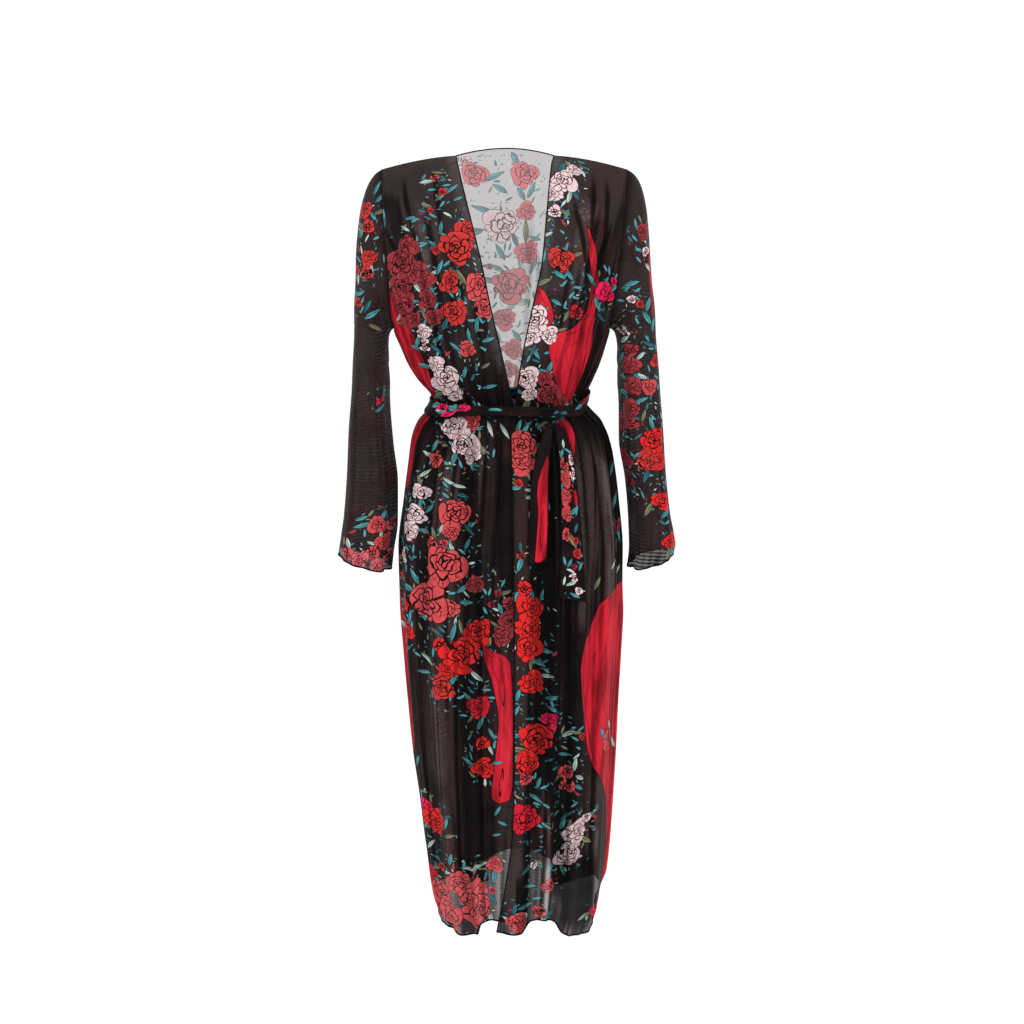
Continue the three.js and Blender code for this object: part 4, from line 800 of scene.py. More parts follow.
LEAVES = {
    "under": [Leaf(*row) for row in (
        (-18, 46, 16, 3.6, 30, "teal"), (-23, 58, 12, 3, 24, "teal"), (-16, 62, 10, 3, 15, "teal"),
        (-24, 20, 12, 3.4, -20, "olive"), (-30, 26, 7, 2.6, 50, "teal"), (-38, 84, 11, 3.4, -15, "teal"),
        (-56, 72, 15, 4.2, 78, "teal"), (-60, 84, 12, 3.6, 60, "deep_teal"), (-42, 98, 11, 3, -50, "mint"),
        (-24, 100, 12, 3.6, 70, "teal"), (-19, 168, 13, 4, -60, "teal"), (-27, 158, 14, 4, 55, "teal"),
        (-30, 166, 10, 3.4, 20, "mint"), (-28, 240, 14, 4.2, 60, "deep_teal"), (-12, 240, 15, 3.6, 72, "teal"),
        (-7, 262, 13, 3.6, 10, "teal"), (-16, 254, 12, 3.6, 85, "teal"), (-33, 262, 12, 3.8, 30, "teal"),
        (-8, 334, 14, 3.8, 5, "teal"), (-22, 312, 12, 3.6, 65, "teal"), (-9, 300, 10, 3, 25, "olive"),
        (-18, 208, 11, 4, -20, "mint"), (-46, 428, 13, 4, 60, "teal"), (-28, 440, 14, 4.4, 75, "teal"),
        (-30, 476, 13, 3.2, -30, "mint"), (-24, 484, 12, 3, -18, "mint"), (-34, 392, 12, 3.2, 60, "teal"),
        (-8, 398, 16, 3.4, -72, "mint"), (-1, 402, 17, 3.4, -60, "mint"), (-52, 470, 12, 3, 40, "mint"),
        (-18, 470, 13, 4.2, 45, "teal"), (-22, 500, 11, 3.6, -20, "deep_teal"), (-16, 540, 12, 4, 30, "teal"),
        (-18, 572, 12, 4, 60, "teal"), (-33, 550, 9, 3, 70, "mint"), (-50, 556, 9, 2.8, 10, "teal"),
        (-26, 578, 12, 3.4, -65, "mint"), (-20, 640, 16, 4.4, 35, "teal"), (-18, 660, 14, 4.4, 8, "teal"),
        (-26, 706, 18, 3.8, 78, "teal"), (-22, 700, 15, 3.4, -80, "olive"), (-33, 706, 12, 3.2, 60, "teal"),
        (-46, 756, 15, 3.4, -40, "mint"), (-50, 778, 12, 3.4, 0, "teal"), (-27, 782, 15, 4, 65, "teal"),
        (-12, 846, 13, 3.8, 70, "teal"), (-7, 866, 12, 3.6, -60, "teal"), (-38, 1010, 13, 4.2, 70, "teal"),
        (-36, 1030, 10, 3.8, 20, "olive"), (-36, 1066, 12, 3.6, 80, "teal"), (-48, 1030, 12, 3.4, -30, "teal"),
        (-22, 1080, 18, 3.4, 0, "mint"), (-15, 1086, 14, 3.2, 20, "mint"), (-4, 990, 12, 3, 60, "teal"),
        (-2, 1010, 10, 3, -30, "teal"), (-5, 1034, 9, 2.8, 15, "teal"), (-64, 930, 14, 3.4, 70, "teal"),
        (-70, 812, 14, 3.4, 75, "teal"), (-60, 1060, 12, 3, 60, "mint"),
    )],
    "over": [Leaf(*row) for row in (
        (12, 142, 15, 5, 80, "teal"), (17, 140, 11, 3.4, 65, "teal"), (11, 158, 12, 3, 8, "teal"),
        (24, 128, 9, 2.6, 82, "teal"), (22, 170, 13, 4.2, -22, "teal"), (27, 168, 11, 4, -45, "teal"),
        (14, 178, 17, 4.4, 32, "olive"), (17, 190, 14, 3.6, 60, "olive"), (30, 154, 13, 2.4, 75, "olive"),
        (15, 112, 9, 3, 30, "mint"), (11, 176, 12, 4, -40, "deep_teal"), (16, 36, 10, 3, 60, "teal"),
        (22, 82, 11, 3.4, 75, "teal"), (22, 208, 11, 3.6, -20, "teal"), (16, 218, 12, 3.4, 40, "olive"),
        (23, 306, 13, 4, 80, "teal"), (6, 306, 12, 3.4, -30, "teal"), (14, 282, 12, 3.6, -50, "teal"),
        (50, 212, 14, 4.6, -60, "teal"), (62, 186, 14, 4, 55, "teal"), (58, 232, 13, 4, -30, "deep_teal"),
        (5, 396, 14, 4.2, 80, "teal"), (8, 400, 13, 4, 60, "teal"), (20, 392, 14, 3.2, 40, "olive"),
        (3, 486, 10, 4, 10, "teal"), (9, 488, 10, 3, -5, "mint"), (9, 500, 9, 2.8, 12, "mint"),
        (11, 514, 7, 2.6, -30, "teal"), (4, 600, 12, 3, 82, "teal"), (14, 650, 12, 3, 75, "teal"),
        (13, 752, 14, 4.6, -30, "teal"), (4, 800, 13, 4, 75, "teal"), (3, 826, 13, 3.6, 62, "teal"),
        (20, 808, 13, 4.2, 8, "teal"), (20, 826, 11, 3.8, -30, "teal"), (29, 820, 13, 4, 30, "teal"),
        (30, 868, 12, 4.4, 25, "mint"), (28, 900, 13, 3, -10, "teal"), (24, 936, 11, 3.2, 40, "olive"),
        (38, 940, 11, 4, -30, "mint"), (14, 944, 12, 3.4, 75, "teal"), (12, 970, 15, 3.8, -35, "teal"),
        (28, 1014, 11, 4, 75, "teal"), (30, 1002, 12, 3.4, 50, "deep_teal"), (76, 520, 18, 4.6, 65, "teal"),
        (78, 570, 22, 4.4, -78, "teal"), (70, 580, 22, 5, 86, "olive"), (78, 470, 15, 4, 60, "teal"),
        (76, 628, 9, 2.6, 60, "mint"), (10, 1120, 12, 3.2, 0, "teal"), (8, 1146, 13, 4, 25, "teal"),
        (48, 640, 13, 3, 70, "olive"), (62, 612, 11, 3, 50, "mint"),
    )],
    "back": [Leaf(*row) for row in (
        (-176, 40, 20, 5, 155, "teal"), (178, 12, 8, 5, 70, "teal"), (-178, 56, 14, 5, 30, "teal"),
        (172, 58, 15, 4.6, 115, "teal"), (176, 64, 13, 4.6, 60, "teal"), (-172, 86, 18, 5, 10, "teal"),
        (-168, 120, 20, 6, -20, "teal"), (-174, 66, 13, 5, 75, "mint"), (171, 84, 14, 4.6, 60, "mint"),
        (174, 120, 20, 5, 90, "olive"), (-178, 150, 16, 5, 60, "teal"), (170, 170, 16, 4.6, -70, "teal"),
        (170, 130, 10, 3.4, 30, "teal"), (174, 226, 13, 5, -10, "mint"), (-176, 276, 14, 4, 70, "teal"),
        (176, 276, 13, 4, 50, "teal"), (-165, 60, 15, 4.6, 60, "mint"), (-163, 96, 13, 4, -60, "teal"),
        (168, 106, 11, 4, 20, "mint"), (-169, 150, 10, 3.4, 45, "teal"), (170, 1126, 14, 3, 8, "mint"),
        (176, 1160, 12, 3, 15, "mint"), (160, 1146, 16, 4, 80, "teal"), (-176, 1126, 13, 3, 40, "teal"),
    )],
    "right": [Leaf(*row) for row in (
        (48, 24, 14, 4, 40, "teal"), (60, 30, 15, 3.8, 20, "olive"), (42, 205, 13, 5, 80, "teal"),
        (99, 310, 16, 5, 30, "teal"), (84, 330, 13, 4, 60, "deep_teal"), (110, 330, 13, 3.6, -30, "olive"),
        (50, 356, 12, 3.6, 30, "teal"), (126, 600, 11, 3.4, 30, "teal"), (120, 880, 13, 4, 70, "teal"),
        (36, 60, 13, 4, 70, "teal"), (70, 90, 12, 3.6, -40, "teal"), (60, 280, 10, 3.4, 70, "mint"),
        (76, 890, 12, 3.6, 20, "teal"), (104, 940, 12, 3, -20, "mint"),
    )],
    "left": [Leaf(*row) for row in (
        (105, 150, 12, 4, 60, "teal"), (96, 190, 13, 4, 20, "teal"), (51, 384, 13, 4.4, 70, "teal"),
        (57, 412, 14, 4.6, -60, "teal"), (147, 394, 13, 4, 60, "teal"), (90, 595, 13, 3.6, 20, "teal"),
        (132, 320, 12, 3.4, 40, "mint"), (40, 300, 10, 3, -60, "mint"), (88, 640, 12, 3.4, 70, "olive"),
        (32, 450, 14, 4, 75, "teal"), (56, 480, 12, 3.6, -30, "deep_teal"), (84, 620, 13, 4, 60, "teal"),
        (110, 600, 12, 3.6, 30, "olive"), (72, 760, 12, 4, 70, "teal"), (44, 890, 12, 4, 40, "teal"),
    )],
    "long": [Leaf(*row) for row in (
        (10, 520, 10, 3, 80, "teal"), (8, 545, 9, 3, 70, "deep_teal"), (-4, 600, 9, 3, 60, "teal"),
        (-2, 630, 10, 3, 20, "mint"), (4, 648, 10, 3, -20, "teal"), (12, 605, 8, 2.6, 70, "teal"),
        (-6, 436, 9, 3, 60, "teal"), (0, 420, 8, 2.6, 80, "mint"),
    )],
    "short": [],
    "belt": [Leaf(*row) for row in (
        (-40, 20, 14, 4, 10, "teal"), (-6, 15, 13, 3.4, 4, "teal"), (-50, 350, 10, 3, -8, "teal"),
        (38, 340, 10, 3, 10, "deep_teal"), (98, 20, 12, 3.4, 0, "teal"), (-112, 340, 11, 3.4, 0, "teal"),
    )],
}


class Stamp(NamedTuple):
    """A rose or leaf on the cut cloth, in mm. Its mark holds its colour and its random seed."""
    across: float
    down: float
    long: float
    wide: float
    turn: float
    mark: float
    wider: float
    taller: float

    def local(self, u, v):
        """Places on the cloth as shares of the stamp's own half sizes."""
        du, dv = (u - self.across) / self.wider, (v - self.down) / self.taller
        cosine, sine = math.cos(rad(self.turn)), math.sin(rad(self.turn))
        return (du * cosine + dv * sine) / self.long, (dv * cosine - du * sine) / self.wide


# Plain crimson areas of the print, as outlines of angle and drop
AREAS = {
    "under": [
        [(-80, 188), (-66, 180), (-62, 220), (-52, 252), (-51, 284), (-50, 320), (-58, 356), (-92, 380),
         (-92, 316), (-86, 256)],
        [(-88, 388), (-66, 384), (-66, 408), (-69, 440), (-73, 496), (-84, 506), (-92, 464), (-92, 424)],
        [(-11, 712), (-8, 734), (1, 742), (2, 808), (2, 944), (1, 972), (-4, 978), (-8, 970), (-5, 904),
         (-3, 840), (-6, 784), (-10, 748)],
        [(-92, 640), (-84, 650), (-80, 740), (-80, 860), (-84, 930), (-92, 940)],
        [(-60, 1092), (-56, 1110), (-54, 1184), (-70, 1190), (-70, 1100)],
    ],
    "over": [
        [(32, 92), (37, 112), (42, 134), (46, 168), (48, 196), (50, 228), (52, 272), (53, 324), (51, 368),
         (37, 356), (25, 310), (20, 276), (22, 254), (30, 250), (36, 244), (44, 224), (43, 196), (40, 160),
         (36, 132)],
        [(10, 182), (15, 190), (20, 214), (22, 234), (18, 250), (11, 244), (8, 210)],
        [(92, 648), (57, 656), (49, 672), (46, 694), (38, 724), (35, 764), (37, 812), (40, 852), (47, 920),
         (57, 960), (72, 1000), (78, 1064), (79, 1140), (84, 1186), (92, 1186)],
        [(27, 372), (38, 372), (40, 404), (37, 436), (33, 448), (30, 420)],
    ],
    "back": [
        [(96, 196), (108, 250), (128, 300), (130, 352), (108, 366), (94, 300)],
        [(-96, 210), (-112, 260), (-122, 330), (-110, 380), (-94, 420)],
        [(88, 652), (99, 700), (104, 780), (101, 850), (95, 920), (88, 966)],
        [(-148, 800), (-158, 812), (-164, 900), (-160, 1010), (-150, 1030), (-152, 940), (-148, 860)],
        [(-90, 640), (-98, 700), (-98, 860), (-90, 940)],
    ],
    "right": [],
    "left": [[(24, 240), (34, 300), (40, 420), (30, 440), (20, 330)]],
    "long": [[(11, 488), (13, 512), (10, 524), (5, 490)]],
    "short": [[(6, 434), (10, 446), (13, 480), (13.4, 540), (12.6, 594), (-5, 598), (-3.4, 560), (-1.4, 520),
               (-4, 494), (-3, 476), (1, 456)]],
    "belt": [],
}


def layered(stamps, count):
    """Sorts stamps into layers in which no two overlap. What fits in none is left out."""
    layers = [[] for _ in range(count)]
    for stamp in stamps:
        for layer in layers:
            if all(math.hypot((stamp.across - other.across) / max(stamp.wider, other.wider),
                              (stamp.down - other.down) / max(stamp.taller, other.taller))
                   > STAMP_GAP * (stamp.long + other.long) for other in layer):
                layer.append(stamp)
                break
    return layers


def lay_out(sheet, kind, seed, leaves_each):
    """The layers of roses and of leaves on a sheet."""
    rng = np.random.default_rng(seed)
    angle, drop = sheet.angle.ravel(), sheet.drop.ravel()
    across, down, widen = sheet.across.ravel(), sheet.down.ravel(), sheet.widen.ravel()

    def cut_place(a, d):
        turn = turn_between(angle, a) if kind in ROUND_KINDS else angle - a
        k = np.argmin((turn * NEAREST_DEGREE_MM) ** 2 + (drop - d) ** 2)
        return across[k], down[k], widen[k]

    blooms, leaves = [], []
    for n, bloom in enumerate(BLOOMS[kind]):
        u, v, wider = cut_place(bloom.angle, bloom.drop)
        radius = bloom.radius * (BLOOM_GROWTH if bloom.tall == 1 and bloom.radius > GROWS_FROM else 1)
        seed_start = FULL_SEED if radius * bloom.tall > SMALL_BLOOM else PLAIN_SEED
        mark = COLOURS.index(bloom.colour) + 1 + seed_start + SEED_SPREAD * ((n * GOLDEN) % 1)
        blooms.append(Stamp(u, v, radius, radius, rng.uniform(0, 360), mark, wider, bloom.tall))
        for _ in range(leaves_each + (bloom.radius > LARGE_BLOOM)):
            where = rng.uniform(0, 360)
            long = rng.uniform(8, 14) + 0.15 * radius
            far = radius * 0.9 + long * 0.5
            mark = rng.choice(MOSTLY_TEAL) + 1.5
            leaves.append(Stamp(u + wider * far * math.cos(rad(where)), v + far * math.sin(rad(where)), long,
                                long * rng.uniform(0.26, 0.36), where + rng.uniform(-40, 40), mark, 1.0, 1.0))
    listed = []
    for leaf in LEAVES[kind]:
        u, v, wider = cut_place(leaf.angle, leaf.drop)
        mark = LEAF_COLOURS.index(leaf.colour) + 1.5
        listed.append(Stamp(u, v, leaf.long, leaf.wide, -leaf.turn, mark, wider, 1.0))
    small_first = sorted(blooms, key=lambda stamp: stamp.long)
    return layered(small_first, BLOOM_LAYERS), layered(listed + leaves, LEAF_LAYERS)


def area_distance(sheet, kind):
    """Distance in mm to the edge of the nearest crimson area, less than nothing inside it."""
    best = np.full(sheet.angle.shape, float(FAR_FROM_AREA))
    scale = DEGREE_MM if kind in ROUND_KINDS else 1.0
    for outline in AREAS[kind]:
        corners = np.array(outline, float)
        for _ in range(2):
            after = np.roll(corners, -1, axis=0)
            corners = np.stack([mix(corners, after, 0.16), mix(corners, after, 0.84)], 1).reshape(-1, 2)
        centre = corners[:, 0].mean()
        x, y = turn_between(sheet.angle, centre) * scale, sheet.drop
        corners[:, 0] = (corners[:, 0] - centre) * scale
        near, inside = np.full(x.shape, float(FAR_FROM_AREA)), np.zeros(x.shape, bool)
        for a, b in zip(corners, np.roll(corners, -1, axis=0)):
            step = b - a
            t = np.clip(((x - a[0]) * step[0] + (y - a[1]) * step[1]) / max(step @ step, 1e-9), 0, 1)
            near = np.minimum(near, np.hypot(x - a[0] - t * step[0], y - a[1] - t * step[1]))
            if a[1] != b[1]:
                inside ^= ((a[1] > y) != (b[1] > y)) & (x < a[0] + (y - a[1]) * step[0] / step[1])
        best = np.minimum(best, np.where(inside, -near, near))
    return best


def new_object(name, data):
    piece = bpy.data.objects.new(name, data)
    bpy.context.scene.collection.objects.link(piece)
    return piece


def mesh_from(name, bm):
    mesh = bpy.data.meshes.new(name)
    bm.to_mesh(mesh)
    bm.free()
    return mesh


def places_of(mesh):
    """A mesh's vertex places, and the vertex at each face corner."""
    places = np.empty(len(mesh.vertices) * 3)
    mesh.vertices.foreach_get("co", places)
    corner = np.empty(len(mesh.loops), int)
    mesh.loops.foreach_get("vertex_index", corner)
    return places.reshape(-1, 3), corner


def set_values(mesh, name, values, kind="FLOAT", domain="POINT", key="value"):
    mesh.attributes.new(name, kind, domain).data.foreach_set(key, values.astype(np.float32).ravel())


def set_cut(mesh, places):
    mesh.uv_layers.new(name="cut").data.foreach_set("uv", places.astype(np.float32).ravel())


class Grid(NamedTuple):
    """Where a piece's vertices stand on its sheet, and its face corners' places on the cut."""
    row: np.ndarray
    column: np.ndarray
    corner: np.ndarray
    u: np.ndarray
    v: np.ndarray


def sheet_object(name, sheet):
    """A piece from a flat grid, bent to the sheet's points, with its cut sizes as its UV map."""
    rows, columns = sheet.points.shape[0] - 1, sheet.points.shape[1] - 1
    bm = bmesh.new()
    bmesh.ops.create_grid(bm, x_segments=columns, y_segments=rows, size=0.5)
    mesh = mesh_from(name, bm)
    flat, corner = places_of(mesh)
    column = np.rint((flat[:, 0] + 0.5) * columns).astype(int)
    row = np.rint((flat[:, 1] + 0.5) * rows).astype(int)
    mesh.vertices.foreach_set("co", (sheet.points[row, column] * MM).ravel())
    u, v = sheet.across[row, column], sheet.down[row, column]
    set_cut(mesh, np.stack([u[corner], -v[corner]], -1) * MM)
    set_values(mesh, "cover", sheet.cover[row, column])
    mesh.update()
    return new_object(name, mesh), Grid(row, column, corner, u, v)


def print_on(piece, sheet, kind, grid, seed, leaves_each):
    """Puts the print's places on a piece as attributes that its finish reads."""
    mesh, u, v = piece.data, grid.u, grid.v
    set_values(mesh, "area", area_distance(sheet, kind)[grid.row, grid.column])
    blooms, leaves = lay_out(sheet, kind, seed, leaves_each)
    busy = np.zeros(len(u))
    for layer in blooms:
        for stamp in layer:
            away = ((u - stamp.across) / stamp.wider) ** 2 + (v - stamp.down) ** 2
            busy += np.exp(-away / (stamp.long + CROWD_REACH) ** 2)
    set_values(mesh, "crowd", np.clip(busy, 0, 1))
    corners = grid.corner.reshape(-1, 4)
    face_u, face_v = u[corners].mean(1), v[corners].mean(1)
    for word, layers, reach in (("bloom", blooms, BLOOM_REACH), ("leaf", leaves, LEAF_REACH)):
        for n, layer in enumerate(layers):
            place = np.zeros((len(corners), 4, 3), np.float32)
            place[..., :2] = OFF_STAMP
            for stamp in layer:
                hit = np.nonzero(np.hypot(*stamp.local(face_u, face_v)) < reach + STAMP_MARGIN / stamp.wide)[0]
                x, y = stamp.local(u[corners[hit]], v[corners[hit]])
                place[hit, :, 0], place[hit, :, 1], place[hit, :, 2] = x, y, stamp.mark
            set_values(mesh, f"{word}_{n + 1}", place, "FLOAT_VECTOR", "CORNER", "vector")


def close_tube(mesh):
    """Joins a tube's seam."""
    bm = bmesh.new()
    bm.from_mesh(mesh)
    bmesh.ops.remove_doubles(bm, verts=bm.verts, dist=1e-5)
    bm.to_mesh(mesh)
    bm.free()


def cord_object(name, path, radius, sides=8, is_loop=False, flat=1.0):
    """A rolled edge or seam: a thin round roll along a path of points in mm."""
    path = np.asarray(path, float)
    if is_loop:
        path = np.concatenate([path, path[:1]])
    tangent = np.gradient(path, axis=0)
    if is_loop:
        tangent[0] = tangent[-1] = path[1] - path[-2]
    tangent /= np.maximum(np.linalg.norm(tangent, axis=1, keepdims=True), 1e-9)
    side = np.cross(tangent, (0.31, 0.17, 0.93))
    level = np.cross(tangent, (0.97, -0.2, 0.1))
    side = np.where(np.linalg.norm(side, axis=1, keepdims=True) > 0.35, side, level)
    side /= np.linalg.norm(side, axis=1, keepdims=True)
    for k in range(1, len(side)):
        carried = side[k - 1] - tangent[k] * side[k - 1].dot(tangent[k])
        side[k] = carried / np.linalg.norm(carried)
    other = np.cross(tangent, side)
    round_ = np.linspace(0, 2 * math.pi, sides + 1)
    ring = (np.cos(round_)[:, None, None] * side + flat * np.sin(round_)[:, None, None] * other) * radius
    points = (path[None] + ring).transpose(1, 0, 2)
    along = lengths_along(points, 0)
    ones = np.ones(along.shape)
    sheet = Sheet(points, round_ * radius * ones, along, along, along, ones, ones)
    piece, *_ = sheet_object(name, sheet)
    bm = bmesh.new()
    bm.from_mesh(piece.data)
    bmesh.ops.remove_doubles(bm, verts=bm.verts, dist=radius * MM * 0.02)
    bmesh.ops.holes_fill(bm, edges=[edge for edge in bm.edges if edge.is_boundary], sides=sides + 2)
    bmesh.ops.recalc_face_normals(bm, faces=bm.faces)
    bm.to_mesh(piece.data)
    bm.free()
    piece.data.shade_smooth()
    return piece


class Shade:
    """A value that varies over the cloth. Sums written with it add Math nodes."""

    def __init__(self, finish, socket):
        self.finish, self.socket = finish, socket

    def maths(self, operation, *others):
        return self.finish.maths(operation, self, *others)

    def __add__(self, other):
        return self.maths("ADD", other)

    def __radd__(self, other):
        return self.finish.maths("ADD", other, self)

    def __sub__(self, other):
        return self.maths("SUBTRACT", other)

    def __rsub__(self, other):
        return self.finish.maths("SUBTRACT", other, self)

    def __mul__(self, other):
        return self.maths("MULTIPLY", other)

    def __rmul__(self, other):
        return self.finish.maths("MULTIPLY", other, self)

    def __truediv__(self, other):
        return self.maths("DIVIDE", other)

    def __lt__(self, other):
        return self.maths("LESS_THAN", other)

    def __gt__(self, other):
        return self.maths("GREATER_THAN", other)

    def __abs__(self):
        return self.maths("ABSOLUTE")

    def sine(self):
        return self.maths("SINE")

    def least(self, other):
        return self.maths("MINIMUM", other)

    def most(self, other):
        return self.maths("MAXIMUM", other)

    def between(self, low, high):
        """0 below low, 1 above high and a soft rise between."""
        node = self.finish.node("ShaderNodeMapRange", {"interpolation_type": "SMOOTHSTEP"},
                                {"Value": self, "From Min": low, "From Max": high})
        return Shade(self.finish, node.outputs["Result"])


class Finish:
    """A material under construction, with one method that adds any node."""

    def __init__(self, name):
        self.material = bpy.data.materials.new(name)
        self.material.use_nodes = True
        self.tree = self.material.node_tree
        self.tree.nodes.clear()

    def feed(self, socket, value):
        """Links a value that varies to a socket, or sets a constant on it."""
        if isinstance(value, Shade):
            value = value.socket
        if isinstance(value, bpy.types.NodeSocket):
            self.tree.links.new(value, socket)
        else:
            socket.default_value = value

    def node(self, kind, settings=None, inputs=None):
        node = self.tree.nodes.new(kind)
        for key, value in (settings or {}).items():
            setattr(node, key, value)
        for key, value in (inputs or {}).items():
            self.feed(node.inputs[key], value)
        return node

    def maths(self, operation, *values):
        node = self.node("ShaderNodeMath", {"operation": operation}, dict(enumerate(values)))
        return Shade(self, node.outputs[0])

    def attribute(self, name, output="Fac"):
        node = self.node("ShaderNodeAttribute", {"attribute_type": "GEOMETRY", "attribute_name": name})
        return Shade(self, node.outputs[output])

    def cut(self):
        return self.node("ShaderNodeUVMap", {"uv_map": "cut"}).outputs[0]

    def noise(self, place, scale, detail=2.0, output="Fac"):
        node = self.node("ShaderNodeTexNoise", None, {"Vector": place, "Scale": scale, "Detail": detail})
        return Shade(self, node.outputs[output])

    def ramp(self, factor, stops):
        """The colour of the last stop that the factor has passed."""
        node = self.node("ShaderNodeValToRGB", None, {"Fac": factor})
        node.color_ramp.interpolation = "CONSTANT"
        while len(node.color_ramp.elements) < len(stops):
            node.color_ramp.elements.new(0.5)
        for element, (place, colour) in zip(node.color_ramp.elements, stops):
            element.position, element.color = place, (*colour, 1)
        return node.outputs["Color"]

    def split(self, vector):
        node = self.node("ShaderNodeSeparateXYZ", None, {0: vector})
        return [Shade(self, out) for out in node.outputs]

    def join(self, x, y, z=0.0):
        return self.node("ShaderNodeCombineXYZ", None, {0: x, 1: y, 2: z}).outputs[0]

    def blend(self, factor, a, b, kind="RGBA"):
        """Mixes two colours, vectors or numbers."""
        node = self.node("ShaderNodeMix", {"data_type": kind})
        slots = {"RGBA": (0, 6, 7, 2), "VECTOR": (0, 4, 5, 1), "FLOAT": (0, 2, 3, 0)}[kind]
        for slot, value in zip(slots, (factor, a, b)):
            if isinstance(value, tuple) and kind == "RGBA":
                value = (*value, 1)
            self.feed(node.inputs[slot], value)
        out = node.outputs[slots[3]]
        return Shade(self, out) if kind == "FLOAT" else out

    def scaled(self, colour, factor):
        node = self.node("ShaderNodeVectorMath", {"operation": "SCALE"}, {0: colour, "Scale": factor})
        return node.outputs[0]

    def bump(self, height, strength):
        node = self.node("ShaderNodeBump", None, {"Strength": strength, "Distance": BUMP_DEPTH, "Height": height})
        return node.outputs[0]

    def finished(self, inputs):
        """Ends the material with a Principled shader and gives it back."""
        shader = self.node("ShaderNodeBsdfPrincipled", None, inputs)
        self.node("ShaderNodeOutputMaterial", None, {"Surface": shader.outputs[0]})
        return self.material


# A rose's rings of petals from its heart out, its darker heart, and the cloth's finish
RING_SIZES = (0.2, 0.42, 0.68, 1.0)
RING_PETALS = (3, 4, 5, 6)
HEART_SHADE, BLUSH_HEART = 0.66, (0.62, 0.3, 0.32)
CRIMSON_SHADE = 0.42
PANEL_MOIRE, SLEEVE_MOIRE = 0.012, 0.11
NECK_ROLL, TAIL_ROLL = 0.75, 0.6
BUMP_DEPTH = 0.0004
BITS = ((0.0078, 0.0034, 0.0009, 0.26), (0.0150, 0.0072, 0.0019, 0.36))


def petal_wave(angle, seed):
    """0 between two outer petals and 1 at the middle of one. Its seed makes the petals uneven."""
    uneven = angle + 0.45 * (angle * 2 + seed * 40).sine()
    return abs((uneven * (RING_PETALS[-1] / 2) + seed * 9).sine())


def outer_limit(angle, seed):
    """How far a rose's outer petals reach at an angle, as a share of its radius."""
    bumps = petal_wave(angle, seed).maths("POWER", 0.55)
    return (0.76 + 0.24 * bumps) * (0.94 + 0.1 * (angle * 3 + seed * 23).sine())


def bloom_print(finish, place):
    """Petal colour with its black outline, and whether a rose covers the point."""
    x, y, mark = finish.split(place)
    seed = mark.maths("FRACT")
    family = (mark - seed) / 10
    full = seed > (PLAIN_SEED + SEED_SPREAD + FULL_SEED) / 2
    far = (x * x + y * y).maths("SQRT")
    angle = y.maths("ARCTAN2", x)
    push = finish.split(finish.noise(finish.join(x, y, seed * 30), 1.6, 1.0, "Color"))
    inner_x = x + (push[0] - 0.5) * 0.6 + 0.17 * (seed * 37).sine()
    inner_y = y + (push[1] - 0.5) * 0.6 + 0.17 * (seed * 53).sine()
    inner_far = (inner_x * inner_x + inner_y * inner_y).maths("SQRT")
    inner_angle = inner_y.maths("ARCTAN2", inner_x)
    limit = outer_limit(angle, seed)
    line = abs(limit - far)
    depth = far / limit
    seam = petal_wave(angle, seed) * far * (2 / RING_PETALS[-1])
    for size, petals in reversed(list(zip(RING_SIZES[:-1], RING_PETALS[:-1]))):
        wave = abs((inner_angle * (petals / 2) + seed * (11 + petals)).sine())
        ring = size * (0.76 + 0.26 * wave)
        if size != RING_SIZES[1]:
            ring = ring * full
        inside = inner_far < ring
        line = line.least(abs(ring - inner_far))
        depth = finish.blend(inside, depth, inner_far / (ring + 0.001), "FLOAT")
        seam = finish.blend(inside, seam, wave * inner_far * (2 / petals), "FLOAT")
    veins = finish.node("ShaderNodeTexVoronoi", {"feature": "DISTANCE_TO_EDGE", "voronoi_dimensions": "3D"},
                        {"Vector": finish.join(inner_x, inner_y, seed * 17), "Scale": 2.7})
    vein = Shade(finish, veins.outputs["Distance"])
    width = 0.075 - 0.04 * full
    outline = (line.least(seam) < width).most((vein < 0.02) * (push[2] > 0.5) * full)
    prints = bpy.context.scene.kimono_print
    colours = [tuple(getattr(prints, name)) for name in COLOURS]
    hearts = [BLUSH_HEART if name == "blush" else tuple(HEART_SHADE * part for part in colour)
              for name, colour in zip(COLOURS, colours)]
    tone = (depth * 0.8 + push[2] * 0.5 - 0.15).most(0).least(1)
    petal = finish.blend(tone, finish.ramp(family, marked(hearts)), finish.ramp(family, marked(colours)))
    return finish.blend(outline, petal, tuple(prints.outline)), (far < limit) * (mark > 0.5)


def marked(colours):
    """Stops of a colour ramp, read at a tenth of a stamp's mark."""
    return [((k + 0.95) / 10, colour) for k, colour in enumerate(colours)]


def leaf_reach(x, y):
    """More than nothing inside a leaf's outline."""
    return (1 - x * x) * (0.92 - 0.2 * x) - abs(y)


def leaf_print(finish, place):
    """A leaf's colour with its outline and rib, and whether a leaf covers the point."""
    prints = bpy.context.scene.kimono_print
    x, y, mark = finish.split(place)
    reach = leaf_reach(x, y)
    line = (reach < 0.17).most(abs(y + 0.08 * (x * 9).sine()) < 0.07)
    leaf = finish.ramp(mark.maths("FLOOR") / 10, marked([tuple(getattr(prints, name)) for name in LEAF_COLOURS]))
    leaf = finish.scaled(leaf, 0.75 + 0.4 * x + 0.3 * (y > 0))
    return finish.blend(line, leaf, tuple(prints.outline)), (reach > 0) * (mark > 0.5) * (abs(x) < 1)


